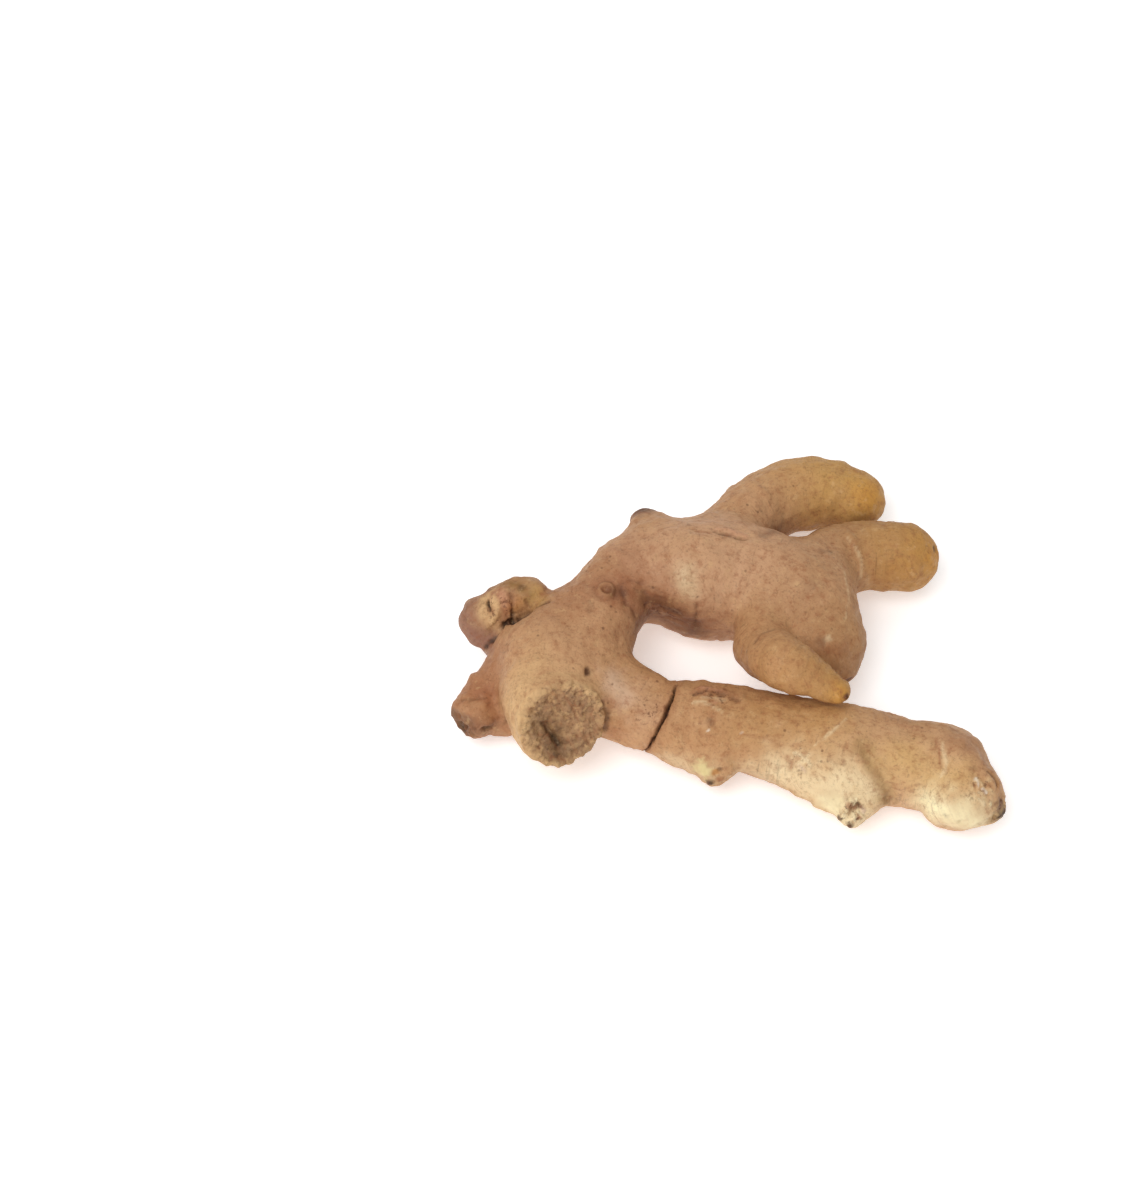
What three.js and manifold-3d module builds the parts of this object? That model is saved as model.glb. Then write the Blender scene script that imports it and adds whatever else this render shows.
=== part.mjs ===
// A ginger root: one whole rhizome hand, grown as a single piece, lying flat as it does on a table.
// Millimetres, +Z up. X runs along the hand's longest side and Y away from the side with the stem scar.
// The skin is the zero surface of a field: every limb is a chain of round cones along a curve, the limbs
// melt into each other where they grew together, and growth rings, cut ends and lumps are relief on top.

import * as THREE from "three";
import Module from "manifold-3d";
import { mergeVertices } from "three/addons/utils/BufferGeometryUtils.js";

// The skin is meshed on a fine grid, then thinned to the triangles that carry the form.
const GRID_STEP = 1.35;
const MARGIN = 4;
const SETTLE_ROUNDS = 3;
const SLOPE_STEP = 0.05;
const LEAST_SLOPE_SQUARED = 0.2;
const TRIANGLES = 11400;
const CURVE_STEPS_PER_POINT = 3;
const FAR_AWAY = 12;
const EDGE_COST = 0.0004;
const LEAST_TURN = 0.5;
const LEAST_DETERMINANT = 1e-4;
const SAME_POINT = 1e-4;
const FLAT_SPOT_DEPTH = 0.02;

// Relief on the skin. Each seed picks one set of random waves.
const SWELLING_HEIGHT = 0.55;
const SWELLING_LENGTH = 21;
const SWELLING_SEED = 0.7;
const RING_HEIGHT = 1;
const RING_WIDTH = 1.9;
const RING_WAIST_DEPTH = 0.5;
const RING_WAIST_WIDTH = 5;
const RING_WAVER = 0.9;
const RING_WAVER_LENGTH = 15;
const RING_WAVER_SEED = 2.3;
const RING_FADE = { mean: 0.75, swing: 0.35, least: 0.2, seed: 5.1 };
const RING_REACH = 2.5;
const CUT_EDGE_ROUNDING = 1.6;
const CUT_DISH_SHARE = 0.7;

// A limb melts into others from MELT_NEAR to MELT_FAR root radii from where it grows, so neighbours that
// only lie side by side stay apart.
const MELT_NEAR = 1.2;
const MELT_FAR = 2.6;
const CREASE_ROUNDING = 1.6;

// About the middle of the hand's footprint, taken to the origin.
const FOOTPRINT = { x: -2.91, y: 1.28 };

// Each limb grows from its first point and runs through points [x, y, z, radius]. melt is how widely its
// root flows into the limbs before it, squash makes its cross-section lower than wide, and rings are the
// places of its growth rings, as shares of its length.
const LIMBS = {
  hub: {
    path: [[-40, 4.8, 18.5, 12.6], [-46.5, -3.4, 17.5, 16.8], [-50.5, -11.3, 16, 17.3]],
    melt: 0,
    rings: [],
  },
  stem_stub: {
    path: [[-55, -13, 17.5, 16.8], [-54.8, -26, 19.5, 15.6], [-51.2, -40.5, 25.2, 12.4]],
    melt: 5,
    rings: [0.45],
  },
  back_knob: {
    path: [
      [-56, 3, 20, 3.6], [-61.7, 8.2, 22.5, 6.6], [-71, 5.8, 21, 6.8], [-76.6, 3.7, 17.2, 6.6],
      [-70, -2.5, 12.5, 4.6],
    ],
    melt: 1.5,
    rings: [0.5],
  },
  side_knob: {
    path: [[-64, -9.5, 14.5, 8.9], [-72, -18.4, 13, 7.8], [-77.2, -26.6, 11.2, 7.5]],
    melt: 4,
    rings: [0.55],
  },
  side_knob_heel: {
    path: [[-70.5, -20, 10, 6], [-69.5, -26.5, 8.5, 5]],
    melt: 3,
    rings: [],
  },
  near_finger: {
    path: [
      [-39.6, -19.9, 16, 11.2], [-28, -26.6, 14.8, 11.4], [-21.5, -29.6, 14, 11.6], [-10, -32.1, 14, 13.7],
      [2, -33, 13.6, 13.3], [15, -36.4, 13.4, 13.2], [34.5, -40.6, 13.3, 13.9], [49, -44, 12.8, 13.6],
      [62.4, -47.4, 12.8, 13.6], [65.8, -53.7, 12.6, 12],
    ],
    melt: 5,
    rings: [0.33, 0.7, 0.9],
  },
  near_finger_tip: {
    path: [[65.8, -53.7, 12.6, 10.8], [73.1, -59.1, 11.2, 5.4]],
    melt: 3,
    rings: [],
  },
  near_finger_bud: {
    path: [[-7, -38.5, 12, 6.5], [-5, -43.7, 10, 5.8], [-6.2, -47.4, 9, 2.5]],
    melt: 3,
    rings: [],
  },
  near_finger_shoot: {
    path: [[29.5, -46.5, 12, 12], [34.3, -54.6, 11, 7.7], [34, -60.6, 10, 3.8]],
    melt: 6,
    rings: [0.6],
  },
  neck: {
    path: [
      [-37.2, 5.2, 20, 11], [-29.4, 16.8, 20.5, 14.2], [-19, 19.3, 20.3, 16.4], [-9.7, 18.2, 19.3, 17.9],
    ],
    melt: 6,
    rings: [0.3, 0.97],
  },
  far_body: {
    path: [[-9.7, 18.2, 19.3, 17.9], [2, 18.3, 18.5, 19.2], [19, 12, 17, 18.1]],
    melt: 4,
    squash: 1.12,
    rings: [0.55],
  },
  far_body_bud: {
    path: [[-22.7, 30, 24, 8.4], [-26.3, 37.4, 23, 4.2]],
    melt: 4,
    rings: [],
  },
  upper_finger: {
    path: [
      [-7.4, 29.1, 18.4, 9.7], [6.4, 43.4, 16, 10.8], [18.7, 54.7, 12.8, 11.8], [34, 56.8, 11.5, 11.6],
      [41.2, 54, 11.4, 9.9],
    ],
    melt: 6,
    rings: [0.3, 0.8],
  },
  middle_finger: {
    path: [[25.2, 22.4, 15, 11.4], [39.4, 30, 14.5, 11.5], [55.3, 30.1, 14, 11]],
    melt: 3,
    rings: [0.45, 0.85],
  },
  near_lobe: {
    path: [[22, 10.5, 16, 16.8], [26.6, -2.6, 15.4, 14.9]],
    melt: 6,
    rings: [0.7],
  },
  thumb_root: {
    path: [[9.5, 2, 21, 9], [9.8, -5, 22, 7.5]],
    melt: 2,
    rings: [],
  },
  thumb: {
    path: [[8.8, -9.2, 23, 7.8], [14.2, -21.8, 33, 8.1], [23.8, -26.8, 32.2, 5.9], [29.6, -30.2, 31.6, 4]],
    melt: 5,
    rings: [],
  },
};

// Broken or cut ends: everything beyond a plane is taken off, and the face is left a little hollow.
const CUT_ENDS = [
  { at: [-50.8, -38.5, 24.6], facing: [0.28, -0.77, 0.58], reach: 17, hollow: 1.2 },
  { at: [-81.2, -30.5, 10], facing: [-0.7, -0.7, 0.1], reach: 9, hollow: 0.6 },
];

// Soft dents in the skin: where, how wide and how deep.
const DENTS = [
  { at: [-19, 2.5, 18], width: 9, depth: 3.4 },
  { at: [-63, -1, 26], width: 3.5, depth: 3.5 },
  { at: [-42.6, -23.6, 31.3], width: 1.6, depth: 1.2 },
];

// The split across the root of the near finger: points along it on the skin, and its width and depth there.
const CRACK = {
  path: [
    [-17.4, -23.5, 24.5], [-18.1, -27, 25.6], [-19.2, -31, 26], [-20.8, -35.7, 25.3], [-23, -40, 22.2],
    [-25.8, -41.2, 14.8],
  ],
  width: 2,
  depth: 2.4,
  end_share: 0.1,
  steps: 14,
};

const GOLDEN_ANGLE = Math.PI * (3 - Math.sqrt(5));
const WAVES = 9;
const waveSets = new Map();

// Smooth random hills and hollows between about -1 and 1: a few plane waves that run every way.
function ripple(x, y, z, spacing, seed) {
  if (!waveSets.has(seed)) waveSets.set(seed, Array.from({ length: WAVES }, (_, i) => makeWave(i, seed)));
  let sum = 0;
  for (const wave of waveSets.get(seed)) {
    sum += Math.sin((wave.x * x + wave.y * y + wave.z * z) / spacing + wave.start);
  }
  return sum / Math.sqrt(WAVES);
}

// One plane wave. Its direction is one of a spiral of them over a sphere, and its length and start differ
// from wave to wave and from seed to seed.
function makeWave(i, seed) {
  const up = 1 - (2 * i + 1) / WAVES;
  const out = Math.sqrt(1 - up * up);
  const turn = i * GOLDEN_ANGLE + seed;
  const perLength = (2 * Math.PI) / (0.75 + 0.5 * ((i * 0.618 + seed) % 1));
  return {
    x: perLength * out * Math.cos(turn),
    y: perLength * out * Math.sin(turn),
    z: perLength * up,
    start: seed * 7.1 + i * i * 1.7,
  };
}

function length(x, y, z) {
  return Math.sqrt(x * x + y * y + z * z);
}

// The lower of two distances, rounded off over a width.
function meltTogether(a, b, width) {
  const h = Math.max(width - Math.abs(a - b), 0) / width;
  return Math.min(a, b) - (h * h * width) / 4;
}

// How widely a limb melts into the others at a point.
function meltWidth({ melt, samples: [root] }, x, y, z) {
  const away = length(x - root.x, y - root.y, z - root.z) / root.r;
  return CREASE_ROUNDING + melt * (1 - THREE.MathUtils.smoothstep(away, MELT_NEAR, MELT_FAR));
}

// A limb's centre line and thickness, sampled finely enough to be smooth.
function sampleLimb({ path }) {
  const curve = new THREE.CatmullRomCurve3(path.map(([x, y, z]) => new THREE.Vector3(x, y, z)));
  const thickness = new THREE.CatmullRomCurve3(path.map(([, , , r], i) => new THREE.Vector3(i, r, 0)));
  const steps = (path.length - 1) * CURVE_STEPS_PER_POINT;
  return Array.from({ length: steps + 1 }, (_, i) => {
    const centre = curve.getPoint(i / steps);
    return { x: centre.x, y: centre.y, z: centre.z, r: thickness.getPoint(i / steps).y };
  });
}

// Distance from a point to a limb, a chain of round cones. Far away it is only known to be at least so much.
function limbDistance({ samples, squash, middle, extent }, x, y, z) {
  const rough = length(x - middle.x, y - middle.y, z - middle.z) - extent;
  if (rough > FAR_AWAY) return rough;
  let best = Infinity;
  for (let i = 0; i + 1 < samples.length; i++) {
    const a = samples[i];
    const b = samples[i + 1];
    const bx = b.x - a.x;
    const by = b.y - a.y;
    const bz = (b.z - a.z) * squash;
    const px = x - a.x;
    const py = y - a.y;
    const pz = (z - a.z) * squash;
    const share = THREE.MathUtils.clamp((px * bx + py * by + pz * bz) / (bx * bx + by * by + bz * bz), 0, 1);
    const away = length(px - share * bx, py - share * by, pz - share * bz);
    best = Math.min(best, away - a.r - share * (b.r - a.r));
  }
  return best;
}

// A growth ring's centre on its limb's centre line, and the direction in which the limb runs there.
function placeRing(samples, place) {
  const at = place * (samples.length - 1);
  const i = Math.min(Math.floor(at), samples.length - 2);
  const here = new THREE.Vector3().copy(samples[i]);
  const next = new THREE.Vector3().copy(samples[i + 1]);
  return { centre: here.clone().lerp(next, at - i), along: next.sub(here).normalize() };
}

const limbs = Object.values(LIMBS).map((limb) => {
  const samples = sampleLimb(limb);
  const rings = limb.rings.map((place) => placeRing(samples, place));
  const middle = samples[Math.floor(samples.length / 2)];
  const reachOf = (p) => length(p.x - middle.x, p.y - middle.y, p.z - middle.z) + p.r;
  const extent = Math.max(...samples.map(reachOf));
  return { samples, rings, melt: limb.melt, squash: limb.squash ?? 1, middle, extent };
});

const cuts = CUT_ENDS.map(({ at, facing, reach, hollow }) => ({
  at: new THREE.Vector3(...at),
  facing: new THREE.Vector3(...facing).normalize(),
  reach,
  hollow,
}));

// How far a point lies past a growth ring along its limb. The ring wanders a little round the limb.
function pastRing({ centre, along }, x, y, z) {
  const off = (x - centre.x) * along.x + (y - centre.y) * along.y + (z - centre.z) * along.z;
  return off + RING_WAVER * ripple(x, y, z, RING_WAVER_LENGTH, RING_WAVER_SEED);
}

// Height of a limb's growth rings: a narrow ridge in a shallow waist, stronger here and weaker there.
function ringRelief(limb, x, y, z) {
  const { mean, swing, least, seed } = RING_FADE;
  let height = 0;
  for (const ring of limb.rings) {
    const past = pastRing(ring, x, y, z);
    const share = Math.max(mean + swing * ripple(x, y, z, RING_WAVER_LENGTH, seed), least);
    height += share * RING_HEIGHT * Math.exp(-((past / RING_WIDTH) ** 2));
    height -= RING_WAIST_DEPTH * Math.exp(-((past / RING_WAIST_WIDTH) ** 2));
  }
  return height;
}

// The limbs melted together, with lumps, dents and growth rings but no cut ends. Negative is inside.
function grownField(x, y, z) {
  const apart = limbs.map((limb) => limbDistance(limb, x, y, z));
  let skin = Infinity;
  apart.forEach((d, i) => {
    skin = i ? meltTogether(skin, d, meltWidth(limbs[i], x, y, z)) : d;
  });
  const bare = skin;
  skin += SWELLING_HEIGHT * ripple(x, y, z, SWELLING_LENGTH, SWELLING_SEED);
  for (const { at, width, depth } of DENTS) {
    const away = length(x - at[0], y - at[1], z - at[2]) / width;
    skin += depth * Math.exp(-away * away);
  }
  if (Math.abs(bare) > 3 * RING_REACH) return skin;
  limbs.forEach((limb, i) => {
    const share = THREE.MathUtils.clamp(1 - (apart[i] - bare) / RING_REACH, 0, 1);
    if (share > 0 && limb.rings.length) skin -= share * ringRelief(limb, x, y, z);
  });
  return skin;
}

// How far a point lies past a cut end's dished face, and how far aside of its axis.
function pastCut({ at, facing, reach, hollow }, x, y, z) {
  const dx = x - at.x;
  const dy = y - at.y;
  const dz = z - at.z;
  const beyond = dx * facing.x + dy * facing.y + dz * facing.z;
  const aside = Math.sqrt(Math.max(dx * dx + dy * dy + dz * dz - beyond * beyond, 0));
  const dish = hollow * (1 - Math.min(aside / (CUT_DISH_SHARE * reach), 1) ** 2);
  return { beyond: beyond + dish, aside };
}

// The whole root's field, with its cut ends.
function field(x, y, z) {
  let skin = grownField(x, y, z);
  for (const cut of cuts) {
    const { beyond, aside } = pastCut(cut, x, y, z);
    skin = -meltTogether(-skin, -Math.min(beyond, cut.reach - aside), CUT_EDGE_ROUNDING);
  }
  return skin;
}

// The way out of the skin, as long as the field is steep.
function slope({ x, y, z }) {
  const e = SLOPE_STEP;
  return new THREE.Vector3(
    field(x + e, y, z) - field(x - e, y, z),
    field(x, y + e, z) - field(x, y - e, z),
    field(x, y, z + e) - field(x, y, z - e),
  ).divideScalar(2 * e);
}

// The field at every point of a grid of cubes over a box.
class Grid {
  constructor(low, high, step) {
    this.low = new THREE.Vector3(...low);
    this.step = step;
    this.count = low.map((l, axis) => Math.ceil((high[axis] - l) / step) + 1);
    this.value = new Float64Array(this.count[0] * this.count[1] * this.count[2]);
    this.forEachPoint(0, 0, (i, j, k) => {
      const { x, y, z } = this.place(i, j, k);
      this.value[this.index(i, j, k)] = field(x, y, z);
    });
  }

  index(i, j, k) {
    return i + this.count[0] * (j + this.count[1] * k);
  }

  place(i, j, k) {
    return new THREE.Vector3(i, j, k).multiplyScalar(this.step).add(this.low);
  }

  inside(i, j, k) {
    return this.value[this.index(i, j, k)] < 0;
  }

  // Calls a function with each grid point's three numbers, but for so many at each axis's start and end.
  forEachPoint(skipFirst, skipLast, call) {
    const [ni, nj, nk] = this.count;
    for (let k = skipFirst; k < nk - skipLast; k++)
      for (let j = skipFirst; j < nj - skipLast; j++)
        for (let i = skipFirst; i < ni - skipLast; i++) call(i, j, k);
  }
}

const CUBE_CORNERS = [0, 1, 2, 3, 4, 5, 6, 7].map((c) => [c & 1, (c >> 1) & 1, (c >> 2) & 1]);
const CUBE_EDGES = CUBE_CORNERS.flatMap((_, a) =>
  [1, 2, 4].filter((bit) => !(a & bit)).map((bit) => [a, a | bit]),
);

// Where the skin runs through a grid cube: the middle of its crossings with the cube's edges, if any.
function skinInCube(grid, i, j, k) {
  const values = CUBE_CORNERS.map(([a, b, c]) => grid.value[grid.index(i + a, j + b, k + c)]);
  const crossed = CUBE_EDGES.filter(([a, b]) => values[a] < 0 !== values[b] < 0);
  if (!crossed.length) return null;
  const middle = new THREE.Vector3();
  for (const [a, b] of crossed) {
    const share = values[a] / (values[a] - values[b]);
    middle.add(new THREE.Vector3(...CUBE_CORNERS[a]).lerp(new THREE.Vector3(...CUBE_CORNERS[b]), share));
  }
  return middle.divideScalar(crossed.length).multiplyScalar(grid.step).add(grid.place(i, j, k));
}

// A closed mesh of the field's zero surface: one point in each grid cube that it crosses, and one
// four-sided face across each grid edge that it crosses.
function skinMesh(grid) {
  const points = [];
  const pointOfCube = new Map();
  grid.forEachPoint(0, 1, (i, j, k) => {
    const point = skinInCube(grid, i, j, k);
    if (!point) return;
    pointOfCube.set(grid.index(i, j, k), points.length);
    points.push(point);
  });

  const quads = [];
  grid.forEachPoint(1, 1, (...here) => {
    for (const [a, b, c] of [[0, 1, 2], [1, 2, 0], [2, 0, 1]]) {
      const next = [...here];
      next[a]++;
      if (grid.inside(...here) === grid.inside(...next)) continue;
      const cube = (back, down) => {
        const at = [...here];
        at[b] -= back;
        at[c] -= down;
        return pointOfCube.get(grid.index(...at));
      };
      const quad = [cube(1, 1), cube(0, 1), cube(0, 0), cube(1, 0)];
      quads.push(grid.inside(...here) ? quad : quad.reverse());
    }
  });
  return { points, quads };
}

// Takes a point onto the zero surface.
function ontoSkin(p) {
  const out = slope(p);
  p.addScaledVector(out, -field(p.x, p.y, p.z) / Math.max(out.lengthSq(), LEAST_SLOPE_SQUARED));
}

// Takes each point onto the zero surface, and spreads the points evenly along it.
function settle({ points, quads }, rounds) {
  const around = points.map(() => new Set());
  for (const quad of quads)
    quad.forEach((p, i) => around[p].add(quad[(i + 1) % 4]).add(quad[(i + 3) % 4]));
  for (let round = 0; round < rounds; round++) {
    const moves = points.map((p, i) => {
      const mean = new THREE.Vector3();
      around[i].forEach((q) => mean.add(points[q]));
      const move = mean.divideScalar(around[i].size).sub(p);
      const normal = slope(p).normalize();
      return move.addScaledVector(normal, -move.dot(normal)).multiplyScalar(0.5);
    });
    points.forEach((p, i) => ontoSkin(p.add(moves[i])));
  }
  points.forEach(ontoSkin);
}

// A triangle's normal, as long as twice its area.
function crossOf(a, b, c) {
  return new THREE.Vector3().subVectors(b, a).cross(new THREE.Vector3().subVectors(c, a));
}

// How a point's squared distance to a triangle's plane, times the triangle's area, is worked out: the ten
// numbers of a symmetric 4 x 4 matrix.
function planeError(a, b, c) {
  const n = crossOf(a, b, c);
  const area = n.length() / 2;
  n.normalize();
  const d = -n.dot(a);
  const numbers = [
    n.x * n.x, n.x * n.y, n.x * n.z, n.x * d, n.y * n.y, n.y * n.z, n.y * d, n.z * n.z, n.z * d, d * d,
  ];
  return numbers.map((q) => q * area);
}

function errorAt(q, { x, y, z }) {
  const squares = q[0] * x * x + q[4] * y * y + q[7] * z * z;
  const products = q[1] * x * y + q[2] * x * z + q[5] * y * z;
  return squares + 2 * (products + q[3] * x + q[6] * y + q[8] * z) + q[9];
}

// The point where two merged corners do least harm, near the middle of the edge between them.
function bestPoint(q, a, b) {
  const middle = a.clone().lerp(b, 0.5);
  const choices = [middle, a, b];
  const matrix = new THREE.Matrix3().set(q[0], q[1], q[2], q[1], q[4], q[5], q[2], q[5], q[7]);
  const size = (q[0] + q[4] + q[7]) / 3;
  if (Math.abs(matrix.determinant()) > LEAST_DETERMINANT * size ** 3) {
    const p = new THREE.Vector3(-q[3], -q[6], -q[8]).applyMatrix3(matrix.invert());
    if (p.distanceTo(middle) < a.distanceTo(b)) choices.push(p);
  }
  return choices.reduce((best, p) => (errorAt(q, p) < errorAt(q, best) ? p : best));
}

// A queue that always gives the entry with the lowest cost: a heap in which each entry costs no less than
// the one above it.
class Queue {
  entries = [];

  swap(i, j) {
    [this.entries[i], this.entries[j]] = [this.entries[j], this.entries[i]];
  }

  push(entry) {
    let i = this.entries.push(entry) - 1;
    while (i > 0) {
      const up = (i - 1) >> 1;
      if (this.entries[up].cost <= this.entries[i].cost) break;
      this.swap(i, up);
      i = up;
    }
  }

  pop() {
    this.swap(0, this.entries.length - 1);
    const top = this.entries.pop();
    let i = 0;
    for (;;) {
      const [left, right] = [2 * i + 1, 2 * i + 2];
      let low = i;
      if (this.entries[left]?.cost < this.entries[low].cost) low = left;
      if (this.entries[right]?.cost < this.entries[low].cost) low = right;
      if (low === i) return top;
      this.swap(i, low);
      i = low;
    }
  }
}

// A mesh that is thinned by merging neighbouring corners, cheapest first.
class ThinningMesh {
  constructor(points, faces) {
    this.points = points;
    this.faces = faces;
    this.left = faces.length;
    this.errors = points.map(() => new Array(10).fill(0));
    this.facesAt = points.map(() => new Set());
    this.changes = points.map(() => 0);
    this.queue = new Queue();
    faces.forEach((face, f) => {
      const error = planeError(...face.map((p) => points[p]));
      for (const p of face) {
        this.facesAt[p].add(f);
        error.forEach((e, i) => (this.errors[p][i] += e));
      }
    });
    points.forEach((_, a) => this.neighbours(a).forEach((b) => a < b && this.offer(a, b)));
  }

  neighbours(p) {
    return new Set([...this.facesAt[p]].flatMap((f) => this.faces[f]).filter((q) => q !== p));
  }

  // Puts the merging of two corners in the queue. The entry is void once either corner has changed.
  offer(a, b) {
    const q = this.errors[a].map((e, i) => e + this.errors[b][i]);
    const at = bestPoint(q, this.points[a], this.points[b]);
    const cost = errorAt(q, at) + EDGE_COST * this.points[a].distanceToSquared(this.points[b]);
    this.queue.push({ cost, a, b, at, q, changesA: this.changes[a], changesB: this.changes[b] });
  }

  turnOf(f, merged, at) {
    const before = this.faces[f].map((p) => this.points[p]);
    const after = this.faces[f].map((p) => (merged.includes(p) ? at : this.points[p]));
    return crossOf(...before).normalize().dot(crossOf(...after).normalize());
  }

  merge({ a, b, at, q, changesA, changesB }) {
    if (this.changes[a] !== changesA || this.changes[b] !== changesB) return;
    const aroundB = this.neighbours(b);
    const shared = [...this.neighbours(a)].filter((p) => aroundB.has(p));
    const gone = [...this.facesAt[a]].filter((f) => this.facesAt[b].has(f));
    if (shared.length !== 2 || gone.length !== 2) return;
    const kept = [...this.facesAt[a], ...this.facesAt[b]].filter((f) => !gone.includes(f));
    if (kept.some((f) => this.turnOf(f, [a, b], at) < LEAST_TURN)) return;

    for (const f of gone) {
      this.faces[f].forEach((p) => this.facesAt[p].delete(f));
      this.faces[f] = null;
      this.left--;
    }
    for (const f of this.facesAt[b]) {
      this.faces[f] = this.faces[f].map((p) => (p === b ? a : p));
      this.facesAt[a].add(f);
    }
    this.facesAt[b] = new Set();
    this.points[a] = at.clone();
    this.errors[a] = q;
    this.changes[a]++;
    this.changes[b]++;
    this.neighbours(a).forEach((p) => this.offer(a, p));
  }

  thinTo(target) {
    while (this.left > target && this.queue.entries.length) this.merge(this.queue.pop());
    return this.faces.filter(Boolean);
  }
}

// Splits four-sided faces along their shorter diagonal.
function splitQuads(points, quads) {
  return quads.flatMap(([a, b, c, d]) =>
    points[a].distanceTo(points[c]) < points[b].distanceTo(points[d])
      ? [[a, b, c], [a, c, d]]
      : [[a, b, d], [b, c, d]],
  );
}

function geometryOf(points, faces) {
  const corners = faces.flat().map((i) => points[i]);
  return mergeVertices(new THREE.BufferGeometry().setFromPoints(corners), SAME_POINT);
}

// A wedge that runs along the crack, wide above the skin and sharp below it.
function crackBlade() {
  const curve = new THREE.CatmullRomCurve3(CRACK.path.map((p) => new THREE.Vector3(...p)));
  const rows = Array.from({ length: CRACK.steps + 1 }, (_, i) => {
    const along = i / CRACK.steps;
    const p = curve.getPoint(along);
    for (let round = 0; round < SETTLE_ROUNDS; round++) ontoSkin(p);
    const out = slope(p).normalize();
    const side = curve.getTangent(along).cross(out).normalize();
    const open = CRACK.end_share + (1 - CRACK.end_share) * Math.sin(Math.PI * along);
    const bottom = p.clone().addScaledVector(out, -CRACK.depth * open);
    const top = p.clone().addScaledVector(out, CRACK.depth / 2);
    const half = (CRACK.width / 2) * (open + 0.5);
    return [
      top.clone().addScaledVector(side, half),
      top.clone().addScaledVector(side, -half),
      bottom,
    ];
  });
  const last = rows[CRACK.steps];
  const corners = [...rows[0], last[2], last[1], last[0]];
  for (let i = 0; i < CRACK.steps; i++)
    for (let a = 0; a < 3; a++) {
      const b = (a + 1) % 3;
      corners.push(rows[i][b], rows[i][a], rows[i + 1][a], rows[i + 1][b], rows[i][b], rows[i + 1][a]);
    }
  return new THREE.BufferGeometry().setFromPoints(corners);
}

function solidOf(geometry) {
  const merged = mergeVertices(geometry, SAME_POINT);
  const vertProperties = new Float32Array(merged.attributes.position.array);
  const triVerts = new Uint32Array(merged.index.array);
  return new wasm.Manifold(new wasm.Mesh({ numProp: 3, vertProperties, triVerts }));
}

// A solid's points and its triangles as numbers into them.
function meshOf(solid) {
  const { vertProperties, triVerts } = solid.getMesh();
  const points = Array.from({ length: vertProperties.length / 3 }, (_, i) =>
    new THREE.Vector3().fromArray(vertProperties, 3 * i),
  );
  const faces = Array.from({ length: triVerts.length / 3 }, (_, i) => [...triVerts.slice(3 * i, 3 * i + 3)]);
  return { points, faces };
}

function buildSkin() {
  const all = limbs.flatMap(({ samples }) => samples);
  const low = ["x", "y", "z"].map((a) => Math.min(...all.map((s) => s[a] - s.r)) - MARGIN);
  const high = ["x", "y", "z"].map((a) => Math.max(...all.map((s) => s[a] + s.r)) + MARGIN);
  const mesh = skinMesh(new Grid(low, high, GRID_STEP));
  settle(mesh, SETTLE_ROUNDS);

  // The root has lain on a table: its lowest places are flat spots at height 0.
  for (const p of mesh.points) p.z = Math.max(p.z, 0);
  const whole = solidOf(geometryOf(mesh.points, splitQuads(mesh.points, mesh.quads)));
  const { points, faces } = meshOf(whole.subtract(solidOf(crackBlade())));
  const kept = new ThinningMesh(points, faces).thinTo(TRIANGLES);
  for (const p of points) if (p.z < FLAT_SPOT_DEPTH) p.z = 0;

  const geometry = geometryOf(points, kept);
  geometry.translate(-FOOTPRINT.x, -FOOTPRINT.y, 0);
  geometry.computeVertexNormals();
  return geometry;
}

const wasm = await Module();
wasm.setup();

const skin = new THREE.MeshStandardMaterial({ color: 0xb98f69, roughness: 0.72, metalness: 0 });

const rhizome = new THREE.Mesh(buildSkin(), skin);
rhizome.name = "rhizome";

const gingerRoot = new THREE.Group();
gingerRoot.name = "ginger_root";
gingerRoot.add(rhizome);

export default gingerRoot;
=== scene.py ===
"""A fresh ginger rhizome: papery skin with growth rings, a corky stem scar, buds, a split and dry tips.

Lengths are millimetres, and metres for the floor and the lights. The skin is worked out in the growth frame,
where the limbs' centre lines are given, and then moved by FOOTPRINT to about the middle of its footprint.
"""

import math

import bmesh
import bpy
import numpy as np
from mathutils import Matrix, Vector, noise


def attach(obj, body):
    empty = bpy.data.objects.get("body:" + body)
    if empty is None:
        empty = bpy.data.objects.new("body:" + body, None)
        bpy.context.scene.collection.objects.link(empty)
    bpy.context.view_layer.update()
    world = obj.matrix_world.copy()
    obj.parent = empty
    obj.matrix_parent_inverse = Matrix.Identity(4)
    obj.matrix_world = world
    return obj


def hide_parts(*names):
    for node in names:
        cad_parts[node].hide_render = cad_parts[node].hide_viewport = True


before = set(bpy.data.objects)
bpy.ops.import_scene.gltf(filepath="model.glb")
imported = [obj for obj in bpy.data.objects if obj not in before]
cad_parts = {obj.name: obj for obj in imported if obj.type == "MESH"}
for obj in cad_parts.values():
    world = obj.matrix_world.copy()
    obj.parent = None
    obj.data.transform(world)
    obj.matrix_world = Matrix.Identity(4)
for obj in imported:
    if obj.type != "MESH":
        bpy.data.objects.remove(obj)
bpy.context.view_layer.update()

MM = 0.001
FOOTPRINT = np.array([-2.91, 1.28, 0.0])

# The camera looks down at the root from in front of the stem scar.
CAMERA_TARGET = (-46.09, 12.72, 14.0)
CAMERA_DISTANCE = 800.0
CAMERA_ELEVATION = 55.0
CAMERA_LENS = 77.42
CAMERA_SENSOR = 36.0

# The floor, and the lights: name, azimuth, elevation, distance, size and power.
WHITE = (1, 1, 1, 1)
FLOOR_HALF_WIDTH = 3.0
FLOOR_COLOUR = (0.93, 0.93, 0.93, 1)
FLOOR_ROUGHNESS = 0.9
FLOOR_GLOW = 0.38
WORLD_STRENGTH = 0.44
LIGHTS = [
    ("key", -45, 62, 1.6, 0.9, 12.4),
    ("front", -10, 25, 1.8, 1.2, 3.4),
    ("back", 170, 55, 1.8, 1.2, 3.6),
]

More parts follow.
